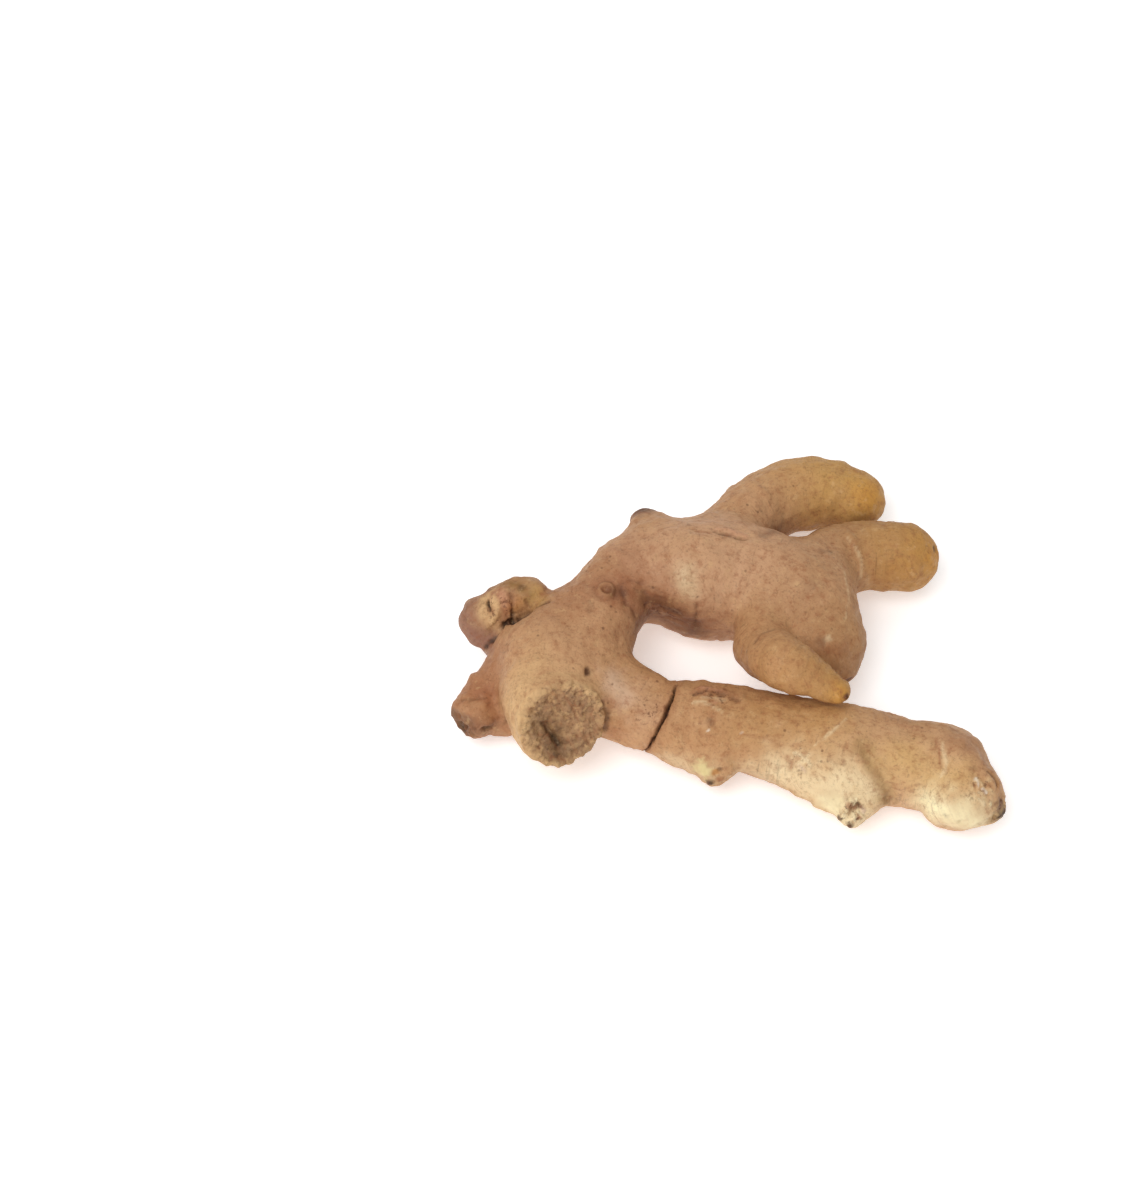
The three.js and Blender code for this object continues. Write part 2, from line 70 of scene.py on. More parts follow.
# Mesh of the skin: even spacing, halved where the small forms are. SHRINK is how far the solid's form is
# drawn in before it is meshed. Beyond FAR_AWAY from a limb, its distance is a rough one.
MESH_SPACING = 0.82
SHRINK = 0.6
WELD_DISTANCE = 1e-6
SLOPE_STEP = 0.05
LEAST_SLOPE = 0.2
SETTLE_ROUNDS = 3
FAR_AWAY = 12.0

# Broad form of the skin.
SWELLING = {"height": 0.55, "spacing": 21.0, "seed": 0.7}
RING_WIDTH = 1.5
RING_HEIGHT = 0.55
RING_WAIST_DEPTH = 0.45
RING_WAIST_WIDTH = 5.0
RING_WAVER = {"height": 0.9, "spacing": 15.0, "seed": 2.3}
RING_FADE = {"mean": 0.75, "swing": 0.35, "least": 0.2, "spacing": 15.0, "seed": 5.1}
RING_REACH = 2.5
CUT_EDGE_ROUNDING = 1.6
CUT_DISH_SHARE = 0.7
MELT_NEAR = 1.2
MELT_FAR = 2.6
CREASE_ROUNDING = 1.6
CURVE_STEPS_PER_POINT = 3
LINE_STEPS_PER_POINT = 4
WAVES = 9
WAVE_LENGTH = {"least": 0.75, "range": 0.5, "step": 0.618}
WAVE_PHASE = {"per_seed": 7.1, "per_wave": 1.7}
GOLDEN_ANGLE = math.pi * (3 - math.sqrt(5))
GRIT_SEED_STEP = 31.7
GRIT_GAIN = 1.6

# Fine relief of the whole skin: spacing of its hills and their height.
LUMPY = {"spacing": 5, "height": 0.26}
ROUGH = {"spacing": 2.4, "height": 0.15}
FINE = {"spacing": 1.2, "height": 0.05}
BROAD_SPACING = 9
WANDER = {"spacing": 4.5, "reach": 0.7}
WRINKLES = {"spacing": (1.2, 20, 20), "height": 0.12}
FIBRE_SPACING = (4, 1.1, 1.1)

# How widely neighbouring limbs' colours run together, and where along a limb its end's tone begins.
TONE_BLEND = 3
TONE_START = 0.25

# Colours of the skin and its marks, as sRGB out of 255.
TONES = {
    "tan": (196, 149, 107),
    "light_tan": (206, 161, 118),
    "brown_tan": (190, 141, 96),
    "straw": (218, 178, 126),
    "cream": (240, 216, 172),
    "pale_yellow": (252, 238, 192),
    "white": (250, 240, 220),
    "dull_tan": (178, 132, 88),
    "olive_tan": (200, 153, 86),
    "finger_brown": (184, 136, 76),
    "olive": (136, 100, 48),
    "ochre": (178, 118, 54),
    "orange": (204, 142, 50),
    "pink_tan": (206, 148, 116),
    "rose_tan": (202, 156, 118),
    "pale_rose": (222, 190, 162),
    "yellow_tan": (212, 170, 104),
    "red_tan": (176, 122, 84),
    "rust": (150, 92, 58),
    "plum": (148, 104, 84),
    "dark_plum": (108, 70, 52),
    "umber": (88, 56, 34),
    "shadow": (34, 18, 10),
    "lime": (226, 208, 148),
    "cork": (164, 126, 90),
    "dark_cork": (104, 76, 50),
}

# Each limb grows from its first point and runs through points [x, y, z, radius]. melt is how widely its root
# flows into the limbs before it, rings are the places of its growth rings as shares of its length, squash
# makes its section lower than wide, and tones are its colours at its root and at its end, or all over.
LIMBS = {
    "hub": {
        "path": [[-40, 4.8, 18.5, 12.6], [-46.5, -3.4, 17.5, 16.8], [-50.5, -11.3, 16, 17.3]],
        "melt": 0, "tones": ["tan"],
    },
    "stem_stub": {
        "path": [[-55, -13, 17.5, 16.8], [-54.8, -26, 19.5, 15.6], [-51.2, -40.5, 25.2, 12.4]],
        "melt": 5, "rings": [0.45], "tones": ["tan", "straw"],
    },
    "back_knob": {
        "path": [
            [-56, 3, 20, 3.6], [-61.7, 8.2, 22.5, 6.6], [-71, 5.8, 21, 6.8],
            [-76.6, 3.7, 17.2, 6.6], [-70, -2.5, 12.5, 4.6],
        ],
        "melt": 1.5, "rings": [0.5], "tones": ["dull_tan", "plum"],
    },
    "side_knob": {
        "path": [[-64, -9.5, 14.5, 8.9], [-72, -18.4, 13, 7.8], [-77.2, -26.6, 11.2, 7.5]],
        "melt": 4, "rings": [0.55], "tones": ["red_tan"],
    },
    "side_knob_heel": {
        "path": [[-70.5, -20, 10, 6], [-69.5, -26.5, 8.5, 5]],
        "melt": 3, "tones": ["red_tan"],
    },
    "near_finger": {
        "path": [
            [-39.6, -19.9, 16, 11.2], [-28, -26.6, 14.8, 11.4], [-21.5, -29.6, 14, 11.6],
            [-10, -32.1, 14, 13.7], [2, -33, 13.6, 13.3], [15, -36.4, 13.4, 13.2],
            [34.5, -40.6, 13.3, 13.9], [49, -44, 12.8, 13.6], [62.4, -47.4, 12.8, 13.6],
            [65.8, -53.7, 12.6, 12],
        ],
        "melt": 5, "rings": [0.33, 0.7, 0.9], "tones": ["brown_tan", "light_tan"],
    },
    "near_finger_tip": {
        "path": [[65.8, -53.7, 12.6, 10.8], [73.1, -59.1, 11.2, 5.4]],
        "melt": 3, "tones": ["light_tan", "straw"],
    },
    "near_finger_bud": {
        "path": [[-7, -38.5, 12, 6.5], [-5, -43.7, 10, 5.8], [-6.2, -47.4, 9, 2.5]],
        "melt": 3, "tones": ["brown_tan", "dull_tan"],
    },
    "near_finger_shoot": {
        "path": [[29.5, -46.5, 12, 12], [34.3, -54.6, 11, 7.7], [34, -60.6, 10, 3.8]],
        "melt": 6, "rings": [0.6], "tones": ["straw", "cream"],
    },
    "neck": {
        "path": [
            [-37.2, 5.2, 20, 11], [-29.4, 16.8, 20.5, 14.2], [-19, 19.3, 20.3, 16.4],
            [-9.7, 18.2, 19.3, 17.9],
        ],
        "melt": 6, "rings": [0.3, 0.97], "tones": ["rose_tan"],
    },
    "far_body": {
        "path": [[-9.7, 18.2, 19.3, 17.9], [2, 18.3, 18.5, 19.2], [19, 12, 17, 18.1]],
        "melt": 4, "squash": 1.12, "rings": [0.55], "tones": ["rose_tan"],
    },
    "far_body_bud": {
        "path": [[-22.7, 30, 24, 8.4], [-26.3, 37.4, 23, 4.2]],
        "melt": 4, "tones": ["tan", "plum"],
    },
    "upper_finger": {
        "path": [
            [-7.4, 29.1, 18.4, 9.7], [6.4, 43.4, 16, 10.8], [18.7, 54.7, 12.8, 11.8],
            [34, 56.8, 11.5, 11.6], [41.2, 54, 11.4, 9.9],
        ],
        "melt": 6, "rings": [0.3, 0.8], "tones": ["tan", "olive_tan"],
    },
    "middle_finger": {
        "path": [[25.2, 22.4, 15, 11.4], [39.4, 30, 14.5, 11.5], [55.3, 30.1, 14, 11]],
        "melt": 3, "rings": [0.45, 0.85], "tones": ["dull_tan", "finger_brown"],
    },
    "near_lobe": {
        "path": [[22, 10.5, 16, 16.8], [26.6, -2.6, 15.4, 14.9]],
        "melt": 6, "rings": [0.7], "tones": ["dull_tan"],
    },
    "thumb_root": {
        "path": [[9.5, 2, 21, 9], [9.8, -5, 22, 7.5]],
        "melt": 2, "tones": ["dull_tan", "brown_tan"],
    },
    "thumb": {
        "path": [
            [8.8, -9.2, 23, 7.8], [14.2, -21.8, 33, 8.1], [23.8, -26.8, 32.2, 5.9],
            [29.6, -30.2, 31.6, 4],
        ],
        "melt": 5, "tones": ["brown_tan", "finger_brown"],
    },
}

# Cut or broken ends, each a dished face: the stem's scar, and the broken end of the side knob.
CUT_ENDS = [
    {"at": [-50.8, -38.5, 24.6], "facing": [0.28, -0.77, 0.58], "reach": 17, "hollow": 1.2},
    {"at": [-81.2, -30.5, 10], "facing": [-0.7, -0.7, 0.1], "reach": 9, "hollow": 0.6},
]

DENTS = [
    {"at": [-19, 2.5, 18], "width": 9, "depth": 3.4},
    {"at": [-63, -1, 26], "width": 3.5, "depth": 3.5},
    {"at": [-42.6, -23.6, 31.3], "width": 1.6, "depth": 1.2},
]

# Places with small forms, where the mesh is finer: middle and reach.
FINE_PLACES = [
    ([-50.8, -38.5, 24.6], 16),
    ([-70, 2, 22], 13.5),
    ([-79, -29.5, 10.5], 8),
    ([74, -59.5, 15], 10),
    ([33.5, -60.5, 12], 7.5),
    ([-7.5, -46.5, 13], 6.5),
    ([-38.1, 4.2, 33.3], 4),
    ([30.5, -33, 32], 3.5),
]
FINE_CRACK_REACH = 2.2

# Soft lumps and hollows: place, radius and height.
LUMPS = [
    ([65.5, -47.5, 26.5], 5, 0.9),
    ([71.5, -43, 20.5], 3.2, 0.9),
    ([73.5, -53.5, 21], 3.4, 0.9),
    ([69, -54, 24.5], 1.8, -0.5),
    ([73.5, -48.5, 20.5], 2.2, -0.8),
    ([66.2, -52.6, 25.2], 2.2, 0.5),
    ([72.2, -57.6, 22.9], 2, 0.5),
    ([-23, -22.5, 23], 3.5, 0.8),
    ([-59.3, 7.3, 27.9], 4.2, 0.9),
    ([-65.5, 5, 27.2], 2.2, -1.1),
    ([-70.8, 6.5, 28.2], 3, 0.8),
    ([-80, 1, 20.5], 4, 0.4),
    ([-75.5, -1, 22.5], 1.8, -0.5),
    ([-80.4, -27.5, 17.7], 2.2, 0.5),
    ([-75.9, -28.2, 17.9], 2.2, 0.5),
    ([-78, -24.5, 19], 1.5, -0.5),
    ([-73.5, -30.5, 14.5], 2, 0.6),
    ([-72, -24.5, 19], 2, -0.6),
    ([-14.5, 8, 34], 3, 0.5),
    ([39.5, -8, 21], 3.5, 0.5),
    ([36, -14, 15], 3, 0.5),
    ([10.5, 25, 33], 3, -0.9),
    ([-3, -45.5, 16], 2.6, 0.5),
]

# Washes of colour: points, radius, tone and strength.
SHADES = [
    ([[-48, 0, 34], [-40, 9, 34], [-33, 14, 34]], 9, "rust", 0.5),
    ([[-58, -22, 31], [-62, -30, 28], [-62, -38, 20]], 5.5, "straw", 0.5),
    # The next four washes darken the neck's hollow, undercut front and the crease at its right end: partly
    # its own deep brown skin, partly painted shade.
    ([[-33, 3.5, 31], [-26, 4.5, 28], [-18.5, 3.5, 26], [-12, 1.5, 20]], 7, "rust", 0.8),
    ([[-29, -1, 24], [-21.3, 4.5, 16], [-15.2, 3, 15]], 5, "dark_plum", 0.5),
    ([[-27, 4.8, 28], [-21, 4, 26.2], [-16, 2.4, 24]], 3.2, "umber", 0.6),
    ([[-11, 1.3, 21], [-11, 1.5, 16]], 3.4, "umber", 0.6),
    ([[-36, 3.7, 32.9], [-33.5, 3.2, 32]], 1.6, "umber", 0.6),
    ([[-30, 9, 34], [-24, 9, 33.5], [-18, 8, 33]], 3, "rust", 0.25),
    ([[-14.2, 8.7, 34.7], [-13.3, 4.9, 32.3]], 3, "cream", 0.5),
    ([[-80.7, 2.9, 21.9], [-78.9, -1.6, 19.3], [-75.2, -3, 18]], 6, "plum", 0.85),
    ([[-74.6, 5.1, 27], [-75.5, 1.8, 25], [-72.7, -1.2, 22.5]], 2.8, "straw", 0.7),
    ([[-69.3, 5.5, 28.3], [-67.8, 2.6, 27.2]], 2.4, "pink_tan", 0.7),
    ([[-66.6, 2, 25.8], [-64.8, 3.7, 27.1]], 2.2, "ochre", 0.6),
    ([[-67.5, 10, 28.5], [-63, 7.6, 28.8], [-60.8, 6, 28]], 2.2, "olive", 0.7),
    ([[-59, 7.3, 27.9], [-57.8, 4.3, 27.8]], 2.6, "yellow_tan", 0.7),
    ([[-56.5, 9, 26], [-55.5, 5, 26]], 2.2, "rust", 0.6),
    ([[-64, -12, 22], [-70, -18, 20], [-76, -26, 18]], 6, "rust", 0.35),
    ([[-76.6, -23.3, 19.1], [-73, -23.9, 19]], 2.6, "rust", 0.5),
    ([[-80.4, -28.1, 17.7], [-75.9, -28.2, 17.9]], 2, "tan", 0.5),
    ([[-83, -27.5, 12.5], [-82.6, -28.6, 8]], 3, "umber", 0.85),
    ([[-77, -31.5, 13], [-72, -31, 12]], 3.6, "dark_plum", 0.6),
    ([[-33, -28.5, 25.5], [-35.5, -25.5, 27.5]], 4.2, "pale_rose", 0.9),
    ([[-36.5, -31, 24], [-36.5, -35, 20], [-37, -36, 14]], 3.2, "rust", 0.55),
    ([[-28.2, -26.7, 25.5], [-25.3, -34.6, 24.6], [-29, -37.8, 20]], 4.5, "rose_tan", 0.7),
    ([[6, -38, 26], [14, -39, 27], [25, -39, 27.5]], 9, "finger_brown", 0.55),
    ([[46, -36.4, 24.7], [55, -41, 26]], 3, "rust", 0.3),
    ([[-18, -43, 13], [-2, -47, 12], [12, -49.5, 14]], 4.5, "cream", 0.45),
    # Pale cream on the near finger's front by the shoot's root: partly its own pale skin, partly painted
    # light.
    ([[12, -50.5, 18], [22, -54, 17], [30, -57, 17]], 6.5, "cream", 0.75),
    ([[30, -54, 21], [36, -55, 20], [38, -57, 18]], 5, "cream", 0.7),
    ([[28, -59.5, 13.5], [32, -60.5, 13]], 3.6, "pale_yellow", 0.8),
    # Painted shade: the olive wash darkens the valley between the shoot and the near finger's end.
    ([[36.5, -47.5, 26], [40, -51.8, 23.5], [43.3, -55.6, 19], [44.5, -57.2, 13]], 2.6, "olive", 0.6),
    ([[48, -50, 25], [56, -55, 23], [64, -56, 23]], 7, "yellow_tan", 0.6),
    # Pale yellow on the front of the near finger's end: partly its own pale skin, partly painted light.
    ([[56, -62, 17], [64, -65, 17], [69, -65, 14]], 6, "pale_yellow", 0.95),
    ([[64, -45.5, 26.4], [70, -46, 23], [71.5, -50, 22]], 4.5, "rust", 0.5),
    ([[74, -55, 19], [75, -58, 18]], 3.5, "ochre", 0.5),
    ([[46, 50.7, 19]], 6, "orange", 0.65),
    ([[66, 28, 18]], 7, "orange", 0.7),
    # Painted shade: umber in the crotch under the upper finger's root and along the gap between the upper
    # and middle fingers.
    ([[11, 25, 33], [13, 28, 31]], 2, "umber", 0.5),
    ([[16, 38, 18], [27.3, 35, 22], [36, 41, 17], [45, 45, 14]], 3, "umber", 0.5),
    ([[24.1, 6.6, 34.1]], 3, "umber", 0.25),
    ([[30.5, -32.8, 33]], 2.6, "orange", 0.6),
    ([[-25.6, 38.5, 26]], 4.2, "umber", 0.8),
    ([[26, -13, 27], [33, -11, 24]], 3, "rust", 0.35),
]

# Round marks: place, radius, tone, strength of the tone, and height (negative is a pit).
SPOTS = [
    ([-43.4, -23.8, 30.8], 1.4, "umber", 0.95, -0.6),
    ([-81.5, -29.3, 9.5], 2.2, "shadow", 0.6, -0.7),
    ([-73.9, -32.3, 12.2], 1.7, "shadow", 0.8, -0.9),
    ([-66.6, -1.2, 22.9], 2.6, "shadow", 1, -1.2),
    ([-74.3, 9.2, 26.2], 1.5, "umber", 0.7, -0.3),
    ([-64, 8, 28.8], 1.3, "umber", 0.5, -0.4),
    ([64.5, 29.8, 19.7], 1.2, "umber", 0.8, -0.4),
    ([66.2, 26.5, 14.5], 1.1, "umber", 0.7, -0.4),
    ([65.5, 31.5, 16.5], 1, "umber", 0.7, -0.3),
    ([31.4, 21.7, 29.8], 1.1, "umber", 0.5, -0.3),
    ([26.5, -11, 27.9], 2, "umber", 0.5, -0.4),
    ([28.5, -10, 28.5], 1.2, "cream", 0.5, 0.2),
    ([35.4, -15.1, 13.3], 1.8, "shadow", 0.8, -0.4),
    ([32.6, -33.6, 32], 1.1, "shadow", 0.9, 0.5),
    ([-7.2, -38, 26.2], 1.4, "umber", 0.6, -0.3),
    ([-9.2, -38.5, 25.8], 1.6, "light_tan", 0.6, 0.5),
    ([-9.2, -47.2, 14], 3.2, "lime", 0.85, 0.7),
    ([-3.2, -46.6, 14], 3.4, "brown_tan", 0.75, 0.9),
    ([-6, -48, 13.5], 1.5, "ochre", 0.85, -0.3),
    ([-5.2, -48.6, 11.8], 1.3, "rust", 0.8, 0),
    ([-4.6, -47.5, 15.2], 0.8, "umber", 0.6, -0.3),
    ([-7.2, -49.2, 10.8], 1.2, "shadow", 1, 0.9),
    ([35.4, -60.4, 15.4], 1.2, "umber", 0.85, -1),
    ([34.3, -61, 15], 1, "rust", 0.8, -0.5),
    ([32.6, -60.2, 15.4], 0.9, "red_tan", 0.7, 0.5),
    ([31.4, -61.4, 13.4], 1.6, "cream", 0.9, 0.6),
    ([33.6, -62.6, 12.8], 1.6, "cream", 0.8, 0.5),
    ([36.8, -61.4, 14.2], 1.2, "pale_rose", 0.8, 0.5),
    ([36, -62.7, 12.8], 1.2, "rust", 0.8, -0.3),
    ([30.2, -62.2, 10.8], 0.9, "umber", 0.9, 0.5),
    ([33.2, -64.2, 10.8], 1, "umber", 1, 1),
    ([60.8, -64.2, 15.8], 0.7, "umber", 0.5, 0),
    ([64.4, -65.4, 15], 0.8, "olive", 0.4, 0),
    ([76.3, -60.6, 16.5], 2.4, "dark_plum", 0.9, 0),
    ([74.4, -63.4, 12.5], 2.2, "olive", 0.8, 0),
    ([77.2, -61.4, 12.5], 2.2, "shadow", 0.9, 0.6),
]

# Marks along a line: points, half width, tone, strength and height. A strength of 0 leaves the colour alone.
LINES = [
    ([[-71.6, 5.5, 28.4], [-71.2, 0.5, 25.6], [-72.7, -1.2, 22.5]], 1.1, "straw", 0.6, 0.6),
    ([[-73.6, 5.1, 27.3], [-73.6, 1.3, 25.7]], 0.55, "shadow", 1, -1.2),
    ([[-67.6, 8, 29], [-66.4, 4, 27.4], [-66.6, 0, 24]], 0.6, "umber", 0.5, -0.7),
    ([[-62.6, 5, 27.6], [-61.5, 2.4, 26]], 0.6, "umber", 0.4, -0.5),
    ([[-75.5, -5, 15.5], [-72.4, -4.3, 19], [-70, -3.8, 21.8], [-66.6, -0.9, 22.9]],
     1.2, "shadow", 0.8, -0.6),
    # Painted shade: a dark umber line along the crease where the back knob meets the hub.
    ([[-66.6, -0.6, 22.9], [-62.7, 0.6, 23.6], [-59.5, -0.4, 27.4], [-55.2, 1.8, 30.7]],
     1.2, "umber", 0.95, -0.8),
    ([[-69.6, -27.7, 22.6], [-69, -30, 18.5], [-68.9, -30.4, 11.8]], 1, "umber", 0.7, -0.6),
    ([[-82, -25, 17.5], [-78.5, -25.3, 18.8], [-74, -25.5, 18.6]], 0.5, "umber", 0.45, -0.4),
    ([[-39.5, -31.3, 26.1], [-38, -33.3, 22.1], [-38.3, -35.2, 16.7]], 1.2, "umber", 0.75, -0.5),
    # Painted shade: the two dark lines in the fold at the upper finger's root are its shadow lines.
    ([[-11.8, 25, 36.6], [-8.2, 23.4, 37.3], [-4.5, 23.8, 36.2]], 0.5, "rust", 0.7, -0.5),
    ([[-5, 24.4, 36], [-2.6, 23.7, 35.9], [0.4, 23, 35.3], [5.2, 21.6, 35.4]], 0.6, "umber", 0.7, -0.8),
    ([[-4, 25.8, 35.6], [1, 24.8, 35], [5, 23.2, 35]], 1.1, "pink_tan", 0.4, 0.5),
    ([[-12, 21, 37.5], [-4, 20.5, 37], [3, 19.5, 36.5]], 1.6, "light_tan", 0.3, 0.3),
    # The crease and the wrinkles on the neck's hollow front: dark lines in their grooves, partly their own
    # brown, partly painted shade.
    ([[-10.3, 4, 31.4], [-10.6, 1.8, 28.3], [-10.4, 0.8, 23.4], [-10.4, 1.2, 16.3]],
     0.45, "umber", 0.55, -0.6),
    ([[-34, 6.5, 32.5], [-32, 2, 31], [-29, -1, 27]], 0.8, "dark_plum", 0.5, -0.5),
    ([[-33, 8.5, 32.8], [-27, 8, 31.4], [-21.5, 6.2, 29.8]], 0.5, "dark_plum", 0.4, -0.35),
    ([[-31, 6, 31.5], [-25, 6, 29], [-17, 4.2, 27.8]], 0.5, "dark_plum", 0.5, -0.4),
    ([[-27, 2.4, 27], [-21, 4.4, 23.6], [-14.5, 2, 22]], 0.5, "dark_plum", 0.45, -0.4),
    ([[-24, 5, 19.5], [-18.4, 4, 18.7], [-13, 1.6, 18]], 0.6, "dark_plum", 0.4, -0.3),
    ([[5, -17.2, 34.8], [6.8, -14.8, 35.5], [9.9, -11.7, 35.1], [12.4, -10.2, 34]],
     0.5, "umber", 0.65, -0.6),
    ([[36.4, 29.3, 26.7], [39.3, 25.4, 25.7], [40.9, 22, 23], [41.4, 18.3, 18.7]],
     0.6, "cream", 0.4, 0.2),
    ([[33, 18, 29.7], [35, 10.4, 29.7], [35.5, 3.6, 28.8], [34, -3.7, 27.7]], 0.5, "cream", 0.35, 0.2),
    ([[-12.5, -28.8, 27], [-8, -27.4, 26.4], [-4.4, -27.2, 25.8], [-1, -29, 26], [1.4, -30.8, 26.2]],
     2.2, "rust", 0.6, 0),
    ([[-12.4, -29.4, 27], [-9.8, -28.6, 27]], 0.5, "umber", 0.8, -0.4),
    ([[-9, -27.4, 26.4], [-7, -28.6, 26.6], [-8.2, -29.6, 26.8]], 0.5, "umber", 0.7, -0.4),
    ([[-5.6, -27.4, 26], [-3.4, -28.8, 26.2], [-5, -30, 26.5]], 0.5, "umber", 0.75, -0.4),
    ([[-1.8, -29.2, 26], [1, -30.8, 26.2]], 0.6, "umber", 0.7, -0.4),
    ([[-12, -27.6, 26.6], [-8, -26.4, 26], [-3, -26.4, 25.6]], 0.5, "pink_tan", 0.6, 0.35),
    ([[-11, -30.4, 27], [-6.6, -30.4, 26.8], [-2, -31, 26.6]], 0.5, "cream", 0.4, 0.3),
    ([[-13.2, -32.5, 26.8], [-10.6, -32, 27.2], [-7, -33.2, 26.8], [-4.2, -35.2, 26.6]],
     0.55, "cream", 0.5, 0.25),
    ([[22.8, -46.4, 25.2], [27.2, -43.2, 27.2], [32.1, -38.7, 27.8]], 0.55, "cream", 0.55, 0.3),
    ([[2, -42, 24.5], [8, -43, 24.5], [13.5, -45.5, 23.5]], 0.6, "rust", 0.4, -0.2),
    ([[14, -47.2, 21.6], [16.2, -49.4, 20.2], [15, -50.8, 18.6]], 0.9, "rust", 0.65, -0.4),
    ([[16.5, -46.8, 23], [19.5, -48.4, 22.8], [21.5, -50.8, 22]], 0.8, "cream", 0.7, 0.4),
    ([[17.5, -50.2, 20.8], [20, -51.4, 20.4]], 0.6, "pale_rose", 0.7, 0.3),
    ([[31.2, -59, 17.2], [32.4, -61.2, 14.8], [32, -63.2, 12.2]], 0.6, "cream", 0.9, 0.9),
    ([[34.4, -59.2, 17], [34.2, -61.4, 14.6], [34.8, -63.4, 12]], 0.5, "pale_yellow", 0.9, 0.8),
    ([[33.2, -60.4, 15.8], [33.2, -62.4, 13.4]], 0.4, "rust", 0.8, -0.7),
    ([[37, -60.6, 15.4], [36.4, -62.8, 12.4]], 0.5, "cream", 0.8, 0.6),
    ([[68.6, -56.6, 24.2], [69.6, -57.8, 23.6], [70.2, -59, 22.9]], 0.45, "white", 0.75, 0.5),
    ([[71, -59, 22.8], [72.2, -60.4, 21.6]], 0.45, "white", 0.75, 0.5),
    ([[69.6, -61, 21], [71.2, -62.6, 19.4]], 0.5, "cream", 0.8, 0.3),
    ([[72.6, -61.6, 19.5], [73.6, -62.6, 17.5]], 0.5, "pale_yellow", 0.8, 0.4),
    ([[-8.8, -39.8, 25.2], [-7.6, -41, 24.6]], 0.45, "white", 0.8, 0.3),
    ([[1, -41.6, 24.6], [2.2, -41, 25]], 0.4, "white", 0.6, 0.2),
    ([[59.6, -45.5, 26.5], [60.4, -50.4, 26.1], [60.1, -53.3, 24.7], [58.9, -55.8, 23.2]],
     0.7, "cream", 0.5, 0.4),
    ([[58, -44, 26.4], [59, -50.4, 26.1], [58.8, -53.3, 24.9]], 0.5, "rust", 0.6, -0.4),
    ([[38, -48.6, 25.8], [41.8, -52.2, 23.2], [45, -55.9, 19.4], [47.3, -57.5, 12.4]],
     0.7, "straw", 0.4, 0.2),
    ([[37, -48.5, 25.6], [41, -52.8, 22.8], [44, -56.6, 18.5], [46, -58, 11]], 2.2, "olive", 0, -1.2),
    ([[72, -54, 22.5], [74.6, -57, 19.5]], 0.6, "umber", 0.6, -0.4),
    ([[50, -37, 24], [58, -39, 24], [66, -42.5, 22]], 2.4, "dull_tan", 0.5, 0),
]

# Torn, flaky places: middle, reach, depth, and the tones of the flakes and of the gaps between them.
TORN_PLACES = [
    ([33.5, -61.6, 13.5], 4.8, 1, "cream", "rust"),
    ([76, -60.5, 14], 5.5, 0.6, "dark_cork", "shadow"),
    ([-5, -29, 26.8], 6.5, 0.3, "pink_tan", "rust"),
    ([-26, -33, 24.5], 6.5, 0.25, "rose_tan", "rust"),
    ([19, -49, 22], 5, 0.25, "cream", "rust"),
    ([70.5, -59.5, 22], 5.5, 0.4, "cream", "rust"),
    ([-77, -30, 11], 6, 0.3, "red_tan", "umber"),
    ([-70, 3, 26], 8, 0.25, "straw", "rust"),
    ([-20, 3.5, 22], 9, 0.25, "rust", "umber"),
]

# Places where the skin is young, smooth and without specks: middle and reach.
YOUNG_PLACES = [
    ([-9.2, -47.2, 14], 4),
    ([65, -65, 16], 8),
    ([26, -58, 15], 7),
]

# The split across the root of the near finger: its line, largest half width and depth.
CRACK = {
    "path": [
        [-16.6, -21, 20], [-17.4, -24.4, 24.2], [-18.4, -28, 25.2], [-19.4, -31, 25.6],
        [-21.2, -35.2, 24.9], [-23, -38.8, 22.3], [-25.3, -40.6, 17], [-26.8, -39.6, 11], [-27.6, -37, 6.5],
    ],
    "half_width": 0.65,
    "least_half_width": 0.26,
    "depth": 2.8,
    "stain_width": 1.8,
}
CRACK_LIP = {"away": 1.7, "width": 0.8, "height": 0.3}

# The cork face of the stem's scar, its pits, the rim round it and the slit in it.
SCAR = {"radius": 12, "edge": 2.5, "relief": 0.3}
SCAR_PITS = {"spacing": 1.8, "depth": 0.6}
SCAR_FIBRE = {"spacing": 1.3, "stretch": (1, 2.5, 1)}
SCAR_RIM = {"radius": 12.3, "width": 1.2, "height": 0.6}
SLIT = [[-56.1, -38.8, 25.2], [-54.6, -40.2, 22.5], [-52.3, -42.7, 18.6]]
SLIT_DEPTH = 1.7
SLIT_HOLLOW = 0.8

# The side knob's broken end.
STUB = {"radius": 6, "edge": 2, "rough": 0.3, "fine": 0.2}

# A small round scar on the hub: a raised ring with a pit inside it and a groove outside.
EYE_SCAR = {"at": [-38.1, 4.2, 33.3], "radius": 2.0, "width": 0.65, "height": 0.9}
EYE_PIT = {"radius": 1.1, "depth": 0.5}
EYE_GROOVE = {"outside": 1.3, "width": 0.6, "depth": 0.3}

# Noises of the material: spacing, detail and roughness.
NOISES = {
    "broad": (16, 3, 0.55),
    "mottle": (3.0, 5, 0.65),
    "hoop_places": (9, 2, 0.5),
    "grains": (0.9, 3, 0.65),
    "dot_places": (8, 2, 0.5),
    "flecks": (1.5, 3, 0.6),
    "pits": (1.1, 4, 0.7),
    "bumps": (2.2, 4, 0.65),
    "fine_bumps": (0.7, 3, 0.6),
}
DOT_SPACING = 3.1

# Noises along the limbs: hills a millimetre along the limb and across it.
GRAIN_NOISES = {"streaks": (0.3, 0.9, 0.9), "hoops": (1.3, 0.15, 0.15)}
GRAIN_DETAIL = 3.0
GRAIN_ROUGHNESS = 0.6

